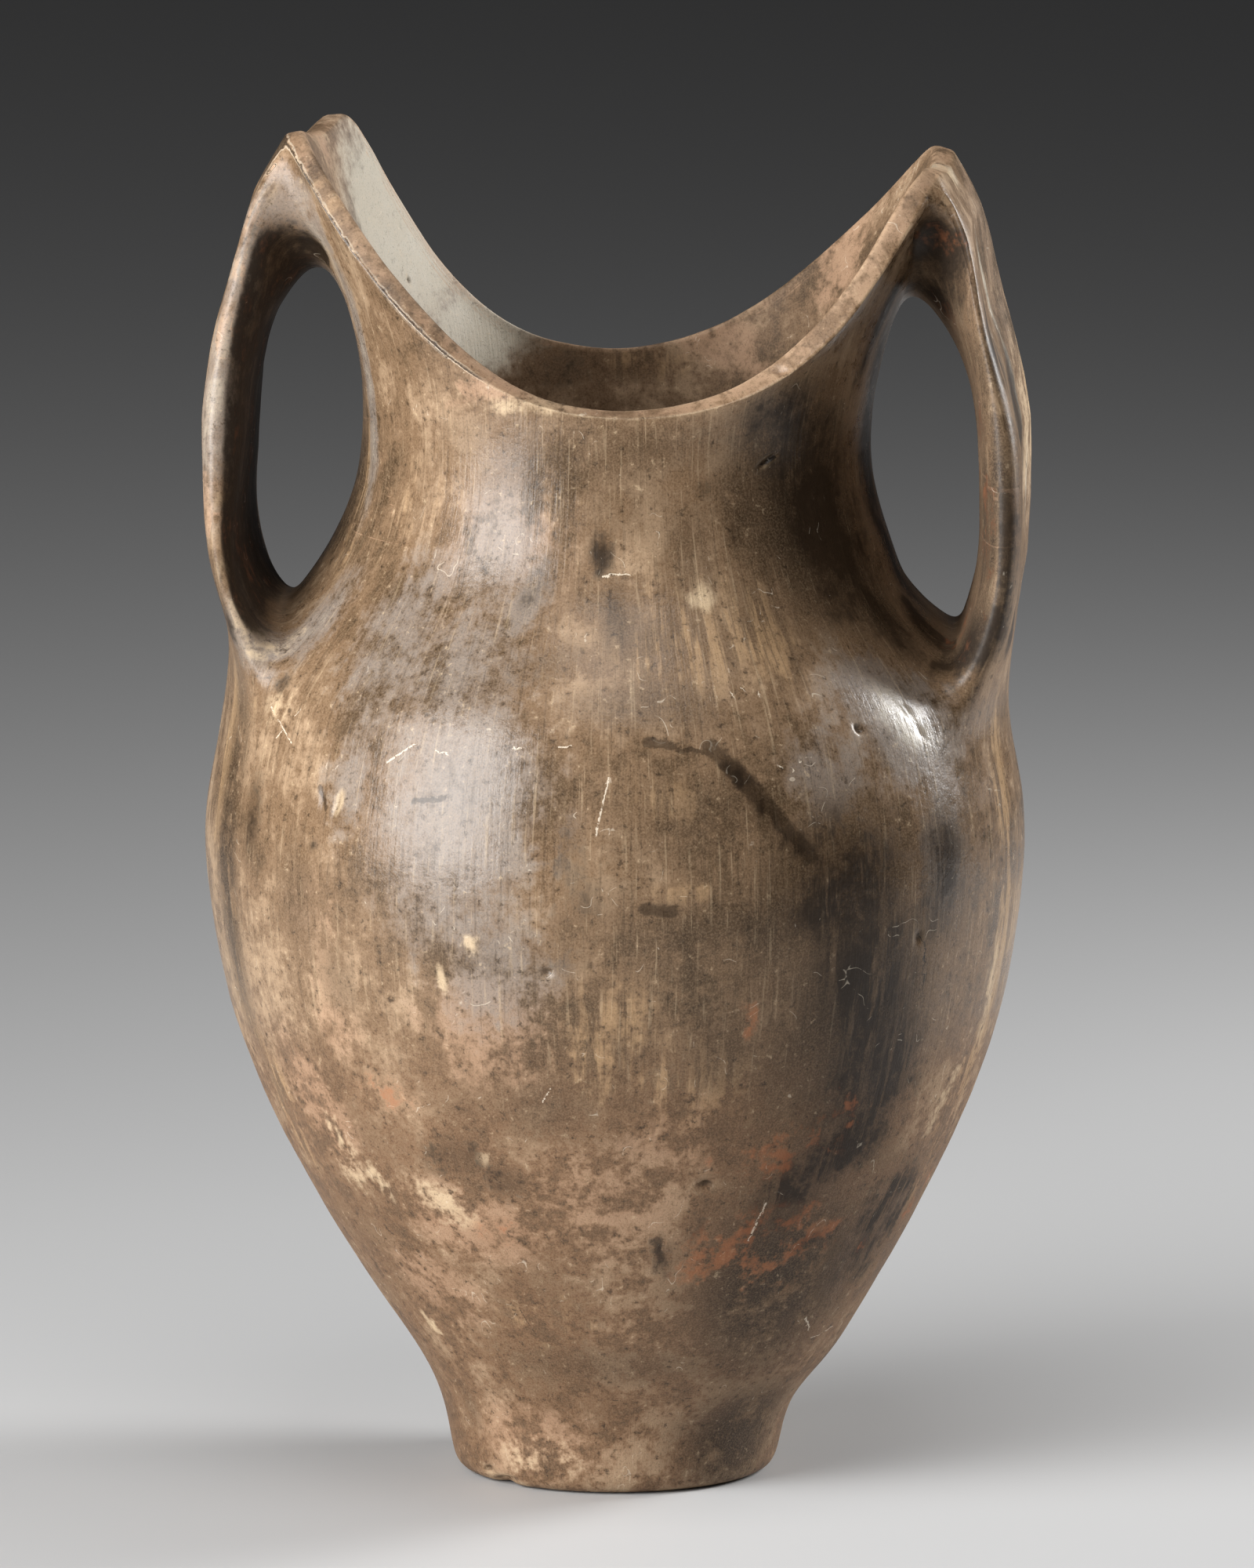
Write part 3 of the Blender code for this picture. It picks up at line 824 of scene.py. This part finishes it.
# where the rim's crack runs, with a painted glint beside it
clouds["rimCrackAndGlint"] = {
    "crackTop": (372, 210, 40, 60, 1.0, 40),
    "crackHigh": (432, 285, 40, 60, 1.0, 40),
    "crackMiddle": (505, 392, 40, 60, 1.0, 40),
    "crackLow": (570, 462, 40, 60, 1.0, 40),
}
clouds["rust"] = {
    "rightEdge": (1168, 1528, 20, 46, 0.42, -28),
    "emberHigh": (1080, 1412, 34, 26, 0.7, -20),
    "emberBelt": (985, 1470, 90, 30, 0.5),
    "emberFoot": (960, 1600, 100, 60, 0.42),
    "emberLeft": (480, 1390, 60, 26, 0.3, -10),
    "emberDrop": (1037, 1459, 8, 13, 0.9),
    "emberLow": (1061, 1569, 14, 16, 0.8),
    "emberSpeck": (1101, 1586, 7, 14, 0.65),
    "emberFleck": (1040, 1540, 14, 10, 0.55),
    "emberStreak": (955, 1300, 14, 26, 0.45),
    "emberRose": (640, 1570, 44, 18, 0.34),
    "recessEmber": (1200, 290, 30, 60, 0.2),
    "strapEmber": (1255, 640, 20, 110, 0.22),
    "strapRoot": (1225, 810, 34, 50, 0.25),
}
# The side that the photograph doesn't show gets clouds of the same kinds: how many, their sizes and places
farClouds = {
    "seed": 11,
    "number": {"sootAndShade": 9, "ochre": 12, "rose": 8, "slate": 9, "buff": 8, "rust": 2},
    "width": (0.008, 0.030),
    "height": (0.010, 0.055),
    "rise": (0.01, 0.34),
    "around": (0.5 * math.pi, 1.5 * math.pi),
    "tilt": (-20, 20),
    "strength": (0.35, 0.90),
}

# Edges rub pale, hollows are darkened, and the straps' inner sides get soot and painted shade
wearAndShade = {
    "edge": 260.0,  # curvature in 1/m where an edge is fully rubbed
    "hollow": 200.0,  # and where a hollow is fully darkened
    "rounds": 2,  # of evening the curvature out
    "reach": 0.03,  # metres from the rim within which its distance is kept
    "innerStrapSootShade": {1: 0.35, -1: 1.00},  # soot and painted shade on each strap's inner side, which faces away from the light
    "innerRust": 0.12,
    "firm": 2.2,  # how soon both set in as the surface turns inwards
}


def layerOf(mesh, name):
    values = np.empty(len(mesh.vertices))
    mesh.attributes[name].data.foreach_get("value", values)
    return values


def bendOf(mesh):
    # curvature from the neighbours' mean place, evened out: above 0 on edges, below 0 in hollows
    points, normals = clayShape(mesh)
    ends = np.empty(len(mesh.edges) * 2, dtype=int)
    mesh.edges.foreach_get("vertices", ends)
    number = np.bincount(ends, minlength=len(points))
    first, second = ends.reshape(-1, 2).T
    gap = points[second] - points[first]
    square = np.einsum("ij,ij->i", gap, gap)
    tilt = np.bincount(first, -np.einsum("ij,ij->i", gap, normals[first]) / square, len(points))
    tilt += np.bincount(second, np.einsum("ij,ij->i", gap, normals[second]) / square, len(points))
    bend = 2.0 * tilt / number
    for turn in range(wearAndShade["rounds"]):
        total = np.bincount(first, bend[second], len(bend)) + np.bincount(second, bend[first], len(bend))
        bend = 0.5 * bend + 0.5 * total / number
    return bend


def rimDistance(mesh):
    # from the rim's outer edge: above 0 over the band and the inside, below 0 down the outer wall
    points = clayShape(mesh)[0]
    edge = points[layerOf(mesh, "lip") > 0.99]
    tree = KDTree(len(edge))
    for index, point in enumerate(edge):
        tree.insert(point, index)
    tree.balance()
    values = np.full(len(points), -wearAndShade["reach"])
    for index in np.nonzero(points[:, 2] > vase["waistHeight"] - wearAndShade["reach"])[0]:
        nearest, found, gap = tree.find(points[index])
        values[index] = math.copysign(min(gap, wearAndShade["reach"]), points[index][2] - nearest.z + 1e-6)
    return values


def paintWearAndShade(mesh, masks):
    bend = bendOf(mesh)
    masks["edgeWear"] = np.clip(bend / wearAndShade["edge"], 0.0, 1.0)
    masks["hollowDark"] = np.clip(-bend / wearAndShade["hollow"], 0.0, 1.0)
    masks["fromRim"] = rimDistance(mesh)
    points, normals = clayShape(mesh)
    outward = points * (1.0, 1.0, 0.0)
    outward /= np.linalg.norm(outward, axis=1)[:, None] + 1e-9
    shade = np.maximum(-np.einsum("ij,ij->i", normals, outward), -normals[:, 2])
    inner = np.clip(wearAndShade["firm"] * shade, 0.0, 1.0) * layerOf(mesh, "handle")
    masks["hollow"] = inner
    # soot and painted shade on the straps' inner sides, fuller the more they face inwards, away from the
    # light
    sootShadeShare = np.where(points[:, 0] > 0.0, wearAndShade["innerStrapSootShade"][1], wearAndShade["innerStrapSootShade"][-1])
    masks["sootAndShade"] = np.maximum(masks["sootAndShade"], sootShadeShare * inner)
    masks["rust"] = np.maximum(masks["rust"], wearAndShade["innerRust"] * inner)


def paintClouds(mesh, onVase):
    # one soft mask for each tone, to be broken up by the material
    tree = clayTree(mesh)
    points, normals = clayShape(mesh)
    masks = {tone: np.zeros(len(points)) for tone in clouds}
    size = photo["claySize"]

    def paint(tone, spot, half, tilt, strength):
        share = ellipseShare(points, normals, spot, half, tilt)
        masks[tone] = np.maximum(masks[tone], strength * np.exp(-(share ** markRule["edgePower"])))

    for tone, marks in clouds.items():
        for x, y, w, h, strength, *tilt in marks.values():
            paint(tone, onVase(tree, (x, y)), (w * size, h * size), sum(tilt), strength)
    chance = np.random.default_rng(farClouds["seed"])
    for tone, number in farClouds["number"].items():
        for count in range(number):
            height = chance.uniform(*farClouds["rise"])
            around = chance.uniform(*farClouds["around"])
            radius = bodyRadius(min(height, vase["waistHeight"]))
            centre = Vector((radius * math.sin(around), -radius * math.cos(around), height))
            half = (chance.uniform(*farClouds["width"]), chance.uniform(*farClouds["height"]))
            tilt = chance.uniform(*farClouds["tilt"])
            strength = chance.uniform(*farClouds["strength"])
            paint(tone, (centre, Vector((*centre.xy, 0.0))), half, tilt, strength)
    paintWearAndShade(mesh, masks)
    for tone, mask in masks.items():
        layer = mesh.attributes.new(tone, "FLOAT", "POINT")
        layer.data.foreach_set("value", mask)


# Strokes in the photograph's pixels: start x and y, end x and y, half width
strokes = {}
strokes["sootAndShade"] = {
    "dashLeft": (826, 946, 858, 952, 7),
    "dashMiddle": (864, 955, 905, 960, 4),
    "dashRight": (905, 953, 930, 966, 5),
    "trailHigh": (908, 954, 966, 1014, 14),
    "trailLow": (966, 1014, 1034, 1092, 12),
    "leftDash": (528, 1022, 566, 1018, 4),
    "slitMark": (408, 1004, 416, 1030, 4),
    "ovalSpot": (822, 1160, 858, 1163, 9),
    "lowDash": (838, 1582, 843, 1606, 7),
}
strokes["lime"] = {
    "scratchOne": (931, 884, 996, 982, 1.3),
    "scratchTwo": (946, 876, 1012, 984, 1.1),
    "scratchThree": (966, 884, 1022, 972, 0.9),
    "scratchFive": (778, 990, 760, 1066, 1.5),
    "scratchSix": (702, 1389, 692, 1406, 1.2),
    "scratchSeven": (977, 1535, 955, 1583, 1.2),
    "leftHatchOne": (346, 902, 372, 948, 1.0),
    "leftHatchThree": (384, 904, 352, 942, 0.9),
    "waveOne": (494, 972, 528, 950, 1.3),
    "waveTwo": (528, 950, 574, 962, 1.1),
    "waveThree": (654, 954, 728, 952, 1.1),
    "hookOne": (1029, 1680, 1032, 1696, 1.2),
    "hookTwo": (1034, 1707, 1062, 1692, 1.2),
    "patchLine": (770, 735, 804, 733, 1.6),
}
strokes["crack"] = {
    "beltCrackHigh": (1173, 1190, 1180, 1210, 1.6),
    "beltCrackLow": (1180, 1210, 1176, 1266, 1.0),
    "neckSlit": (969, 594, 990, 582, 2.2),
    "footCrackLeft": (782, 1786, 880, 1783, 0.9),
    "footCrackRight": (880, 1783, 984, 1774, 1.1),
    "lowCrack": (662, 1668, 686, 1706, 0.9),
}
strokeTones = {"sootAndShade": 0.62, "lime": 0.62, "crack": 0.85}

# Colours of the fired clay, linear; the soot colour also paints shade
clayColour = {
    "umberDark": (0.070, 0.043, 0.023),
    "umber": (0.165, 0.101, 0.056),
    "umberLight": (0.345, 0.236, 0.146),
    "sootAndShade": (0.014, 0.008, 0.004),
    "ochre": (0.370, 0.235, 0.122),
    "rose": (0.400, 0.248, 0.155),
    "slate": (0.200, 0.172, 0.150),
    "buff": (0.620, 0.470, 0.300),
    "rust": (0.330, 0.115, 0.045),
    "warm": (0.250, 0.128, 0.064),
    "pale": (0.520, 0.480, 0.390),
    "lime": (0.760, 0.660, 0.520),
    "crack": (0.012, 0.009, 0.007),
}
# Noise patterns of the finish: scale per metre, detail and roughness
patterns = {
    "drift": (16.0, 2.0, 0.55),
    "mottle": (75.0, 4.0, 0.68),
    "roots": (120.0, 1.0, 0.50),
    "streak": (230.0, 4.0, 0.68),
    "fleck": (380.0, 3.0, 0.66),
    "hair": (900.0, 2.0, 0.62),
    "grain": (1700.0, 1.0, 0.60),
}
# How fully each cloud or mark covers the clay where it is strongest
cover = {
    "ochre": 0.78, "rose": 0.72, "slate": 0.76, "umber": 0.88, "pale": 0.88, "buff": 0.74, "rust": 0.60,
    "hollowDark": 0.75, "rubbed": 0.30, "rimGlint": 0.42, "rimLine": 0.85,
    "hairDark": 0.32, "hairPale": 0.22, "speckle": 0.40, "rootMarks": 0.34,
}
finish = {
    "specular": 0.28,
    "wrapRadius": 0.1,  # metres, at which patterns are wrapped round the vase
    "wornHeights": (0.170, 0.115),  # the burnish starts to go at the first and is gone at the second
    "streakHeights": (0.27, 0.22),  # streaks start to cut through soot at the first, fully at the second
    "strokeEdge": (1.15, 0.55),  # shares of its half width where a stroke starts and is full
    "strokeSway": 0.0030,
}
# The rim's band, the crack along its outer edge and the painted glint beside that crack, in metres from that
# edge
rimMarks = {
    "bandStart": (0.0, 0.0008),
    "bandEnd": (0.0078, 0.0062),
    "sway": 0.0022,
    "line": (0.00065, 0.00025),
    "glint": (0.0004, 0.0001),
    "glintAt": 0.0009,
}
# Roughness of the worn and the burnished clay, then what each pattern or layer adds to it
roughness = {"worn": 0.60, "burnished": 0.31, "mottle": 0.12, "handle": 0.14, "slate": -0.07, "hollow": 0.38}
relief = {"hair": 0.26, "fleck": 0.46, "grain": 0.30, "strength": 0.60, "depth": 0.0005}


class Nodes:
    # short ways to lay and wire shader nodes
    def __init__(self, tree):
        self.tree = tree

    def add(self, kind, inputs=(), **settings):
        made = self.tree.nodes.new("ShaderNode" + kind)
        for name, value in settings.items():
            setattr(made, name, value)
        for socket, value in dict(inputs).items():
            if isinstance(value, bpy.types.NodeSocket):
                self.tree.links.new(value, made.inputs[socket])
            else:
                made.inputs[socket].default_value = value
        return made

    def math(self, how, a, b=0.0, clamp=False):
        return self.add("Math", {0: a, 1: b}, operation=how, use_clamp=clamp).outputs[0]

    def times(self, a, b):
        return self.math("MULTIPLY", a, b)

    def plus(self, a, b):
        return self.math("ADD", a, b)

    def centred(self, value):
        return self.math("SUBTRACT", value, 0.5)

    def vector(self, how, a, b=(0.0, 0.0, 0.0)):
        return self.add("VectorMath", {0: a, 1: b}, operation=how)

    def scaled(self, vector, size):
        return self.add("VectorMath", {0: vector, 3: size}, operation="SCALE").outputs[0]

    def ramp(self, value, low, high, start=0.0, end=1.0):
        inputs = {"Value": value, "From Min": low, "From Max": high, "To Min": start, "To Max": end}
        return self.add("MapRange", inputs, interpolation_type="SMOOTHSTEP").outputs["Result"]

    def spread(self, value):
        # a noise pattern spread out to run from 0 to 1
        return self.ramp(value, 0.34, 0.66)

    def mix(self, share, under, over):
        under = under if isinstance(under, bpy.types.NodeSocket) else (*under, 1.0)
        over = over if isinstance(over, bpy.types.NodeSocket) else (*over, 1.0)
        return self.add("Mix", {0: share, 6: under, 7: over}, data_type="RGBA").outputs[2]

    def blend(self, share, low, high):
        return self.add("Mix", {0: share, 2: low, 3: high}, data_type="FLOAT").outputs[0]

    def noise(self, place, pattern):
        scale, detail, rough = patterns[pattern]
        inputs = {"Vector": place, "Scale": scale, "Detail": detail, "Roughness": rough}
        return self.add("TexNoise", inputs).outputs["Fac"]

    def stretch(self, place, scale):
        return self.add("Mapping", {"Vector": place, "Scale": scale}).outputs["Vector"]

    def layer(self, name):
        return self.add("Attribute", attribute_name=name).outputs["Fac"]


def strokeGroup():
    # 1 inside a stroke from start to end, 0 outside it
    group = bpy.data.node_groups.new("clayStroke", "ShaderNodeTree")
    sockets = {"Place": "Vector", "Start": "Vector", "Run": "Vector", "Unit": "Vector", "Half": "Float"}
    for name, kind in sockets.items():
        group.interface.new_socket(name, in_out="INPUT", socket_type="NodeSocket" + kind)
    group.interface.new_socket("Mask", in_out="OUTPUT", socket_type="NodeSocketFloat")
    lay = Nodes(group)
    given = group.nodes.new("NodeGroupInput").outputs
    out = lay.vector("SUBTRACT", given["Place"], given["Start"]).outputs[0]
    share = lay.math("ADD", lay.vector("DOT_PRODUCT", out, given["Unit"]).outputs["Value"], 0.0, True)
    away = lay.vector("DISTANCE", out, lay.scaled(given["Run"], share)).outputs["Value"]
    mask = lay.ramp(lay.math("DIVIDE", away, given["Half"]), *finish["strokeEdge"])
    group.links.new(mask, group.nodes.new("NodeGroupOutput").inputs[0])
    return group


def layStrokes(lay, place, mesh, onVase):
    # every stroke of one tone together, its places taken from the photograph onto the clay
    tree = clayTree(mesh)
    group = strokeGroup()
    masks = {}
    for tone, marks in strokes.items():
        total = None
        for x0, y0, x1, y1, half in marks.values():
            start = onVase(tree, (x0, y0))[0]
            run = onVase(tree, (x1, y1))[0] - start
            inputs = {"Place": place, "Start": start, "Run": run, "Unit": run / run.length_squared,
                      "Half": half * photo["claySize"]}
            mask = lay.add("Group", inputs, node_tree=group).outputs[0]
            total = mask if total is None else lay.math("MAXIMUM", total, mask)
        masks[tone] = total
    return masks


def burnishedClay(mesh, onVase):
    clay = bpy.data.materials.new("burnishedClay")
    clay.use_nodes = True
    tree = clay.node_tree
    shader = tree.nodes["Principled BSDF"]
    shader.inputs["Specular IOR Level"].default_value = finish["specular"]
    lay = Nodes(tree)
    place = lay.add("TexCoord").outputs["Object"]
    apart = lay.add("SeparateXYZ", {0: place})
    flat = lay.add("CombineXYZ", {0: apart.outputs[0], 1: apart.outputs[1]}).outputs[0]
    ring = lay.scaled(lay.vector("NORMALIZE", flat).outputs[0], finish["wrapRadius"])
    height = lay.add("CombineXYZ", {2: apart.outputs[2]}).outputs[0]
    wrapped = lay.vector("ADD", ring, height).outputs[0]  # way round at one radius, and height

    drift = lay.spread(lay.noise(place, "drift"))
    mottle = lay.spread(lay.noise(place, "mottle"))
    fleck = lay.noise(place, "fleck")
    grain = lay.noise(place, "grain")
    streak = lay.spread(lay.noise(lay.stretch(wrapped, (1.0, 1.0, 0.12)), "streak"))
    hair = lay.noise(lay.stretch(wrapped, (1.0, 1.0, 0.045)), "hair")

    worn = lay.ramp(apart.outputs[2], *finish["wornHeights"])  # the lower body has lost its burnish
    burnished = lay.math("SUBTRACT", 1.0, lay.math("MAXIMUM", worn, lay.layer("inside")))
    coarse = lay.blend(0.30, mottle, lay.spread(fleck))
    streaky = lay.times(burnished, lay.ramp(lay.layer("ochre"), 0.0, 0.8, 0.24, 0.62))
    edge = lay.blend(streaky, coarse, streak)

    def cloud(name, reach=0.85, low=0.12, high=0.80):
        # a painted cloud with its edge broken up by streaks and mottling
        painted = lay.layer(name)
        share = lay.plus(painted, lay.times(lay.centred(edge), reach))
        return lay.times(lay.ramp(share, low, high), lay.ramp(painted, 0.02, 0.25))

    def over(colour, share, mark, tone=None):
        return lay.mix(lay.times(share, cover[mark]), colour, clayColour[tone or mark])

    tone = lay.plus(lay.times(drift, 0.42), lay.times(edge, 0.58))
    colour = lay.mix(lay.ramp(tone, 0.10, 0.52), clayColour["umberDark"], clayColour["umber"])
    colour = lay.mix(lay.ramp(tone, 0.48, 0.92), colour, clayColour["umberLight"])
    striped = lay.mix(lay.ramp(streak, 0.15, 0.75), clayColour["umberDark"], clayColour["ochre"])
    colour = lay.mix(lay.times(cloud("ochre"), cover["ochre"]), colour, striped)
    colour = over(colour, cloud("rose"), "rose")
    colour = over(colour, cloud("slate"), "slate")
    colour = lay.mix(lay.times(worn, lay.ramp(coarse, 0.25, 0.80, 0.60, 0.15)), colour, clayColour["warm"])
    mottled = lay.times(worn, lay.ramp(coarse, 0.60, 0.12, 0.0, 0.60))
    colour = lay.mix(mottled, colour, clayColour["umberDark"])
    dim = lay.mix(lay.ramp(edge, 0.25, 1.10), clayColour["sootAndShade"], clayColour["umber"])
    colour = lay.mix(lay.times(cloud("umber", 0.75, 0.0, 0.95), cover["umber"]), colour, dim)
    colour = over(colour, cloud("pale", 0.30, 0.10, 0.60), "pale")
    colour = over(colour, cloud("buff"), "buff")

    # darker hollows, rubbed edges, and the rim's band with a crack along its outer edge and a painted glint
    # beside it
    hollowDark = lay.times(lay.layer("hollowDark"), lay.blend(0.5, mottle, 1.0))
    colour = over(colour, hollowDark, "hollowDark", "umberDark")
    rubbed = lay.times(lay.layer("edgeWear"), lay.ramp(coarse, 0.20, 0.75))
    rubbed = lay.times(rubbed, lay.ramp(lay.layer("handle"), 0.0, 1.0, 1.0, 0.4))
    colour = over(colour, rubbed, "rubbed", "buff")
    fromRim = lay.layer("fromRim")
    band = lay.times(lay.ramp(fromRim, *rimMarks["bandStart"]), lay.ramp(fromRim, *rimMarks["bandEnd"]))
    colour = lay.mix(lay.times(band, lay.ramp(coarse, 0.15, 0.85, 0.10, 0.55)), colour, clayColour["rose"])
    offEdge = lay.math("ABSOLUTE", lay.plus(fromRim, lay.times(lay.centred(fleck), rimMarks["sway"])))
    rimLine = lay.times(lay.ramp(offEdge, *rimMarks["line"]), lay.ramp(lay.layer("rimCrackAndGlint"), 0.25, 0.60))
    # a painted glint: a pale line beside the crack where the band's sharp outer edge catches the light
    offGlint = lay.math("ABSOLUTE", lay.math("SUBTRACT", offEdge, rimMarks["glintAt"]))
    rimGlint = lay.times(lay.ramp(offGlint, *rimMarks["glint"]), lay.layer("rimCrackAndGlint"))
    colour = over(colour, rimGlint, "rimGlint", "lime")
    colour = over(colour, rimLine, "rimLine", "crack")

    # hair-fine lines of the burnishing stone, flecks and grain
    colour = over(colour, lay.times(burnished, lay.ramp(hair, 0.44, 0.30)), "hairDark", "sootAndShade")
    colour = over(colour, lay.times(burnished, lay.ramp(hair, 0.58, 0.74)), "hairPale", "buff")
    spots = lay.times(lay.ramp(fleck, 0.42, 0.28), lay.ramp(lay.layer("inside"), 0.0, 1.0, 0.70, 0.30))
    colour = lay.mix(spots, colour, clayColour["sootAndShade"])
    colour = over(colour, lay.ramp(fleck, 0.62, 0.76), "speckle", "buff")
    colour = lay.mix(lay.ramp(grain, 0.35, 0.75, 0.0, 0.24), colour, clayColour["umberLight"])
    colour = lay.mix(lay.ramp(grain, 0.48, 0.22, 0.0, 0.42), colour, clayColour["umberDark"])

    # soot and painted shade, cut through by streaks below the shoulder, and rust over it
    cutThrough = lay.ramp(apart.outputs[2], *finish["streakHeights"], 0.0, 0.42)
    streaked = lay.times(lay.ramp(streak, 0.50, 0.95), cutThrough)
    sootShadeShare = lay.times(cloud("sootAndShade", 1.00, 0.04, 1.00), lay.math("SUBTRACT", 0.92, streaked))
    colour = lay.mix(sootShadeShare, colour, clayColour["sootAndShade"])
    colour = over(colour, cloud("rust", 1.5, 0.25, 0.90), "rust")

    # root marks: thin level lines of a slow pattern, kept only in places
    lines = lay.math("ABSOLUTE", lay.centred(lay.noise(wrapped, "roots")))
    rootMarks = lay.times(lay.ramp(lines, 0.008, 0.002), lay.ramp(mottle, 0.88, 0.98))
    colour = over(colour, rootMarks, "rootMarks", "lime")

    shift = lay.times(lay.centred(fleck), finish["strokeSway"])
    marks = layStrokes(lay, lay.vector("ADD", place, shift).outputs[0], mesh, onVase)
    for tone, mask in marks.items():
        colour = lay.mix(lay.times(mask, strokeTones[tone]), colour, clayColour[tone])
    tree.links.new(colour, shader.inputs["Base Color"])

    rough = lay.ramp(burnished, 0.0, 1.0, roughness["worn"], roughness["burnished"])
    rough = lay.plus(rough, lay.times(lay.centred(mottle), roughness["mottle"]))
    for name in ("handle", "slate"):
        rough = lay.plus(rough, lay.times(lay.layer(name), roughness[name]))
    rough = lay.math("ADD", rough, lay.times(lay.layer("hollow"), roughness["hollow"]), True)
    tree.links.new(rough, shader.inputs["Roughness"])

    height = lay.plus(lay.times(hair, relief["hair"]), lay.times(fleck, relief["fleck"]))
    height = lay.plus(height, lay.times(lay.times(grain, worn), relief["grain"]))
    bump = lay.add("Bump", {"Height": height, "Strength": relief["strength"], "Distance": relief["depth"]})
    tree.links.new(bump.outputs["Normal"], shader.inputs["Normal"])
    return clay


bpy.context.scene.view_settings.view_transform = "Standard"
camera = addCamera()
addLights()
addStudio()
print("camera, lights and floor set")

onVase = seenFrom(camera)
fine = smoothClay(buildVaseMesh())
pressByHand(fine)
markHollows(fine, onVase)
paintClouds(fine, onVase)
fine.materials.clear()
fine.materials.append(burnishedClay(fine, onVase))
fine.shade_smooth()
vasePiece = putInScene("potteryVase", fine)
print("vase made:", sum(len(p.vertices) - 2 for p in fine.polygons), "triangles")

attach(vasePiece, "root")
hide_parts("vase")
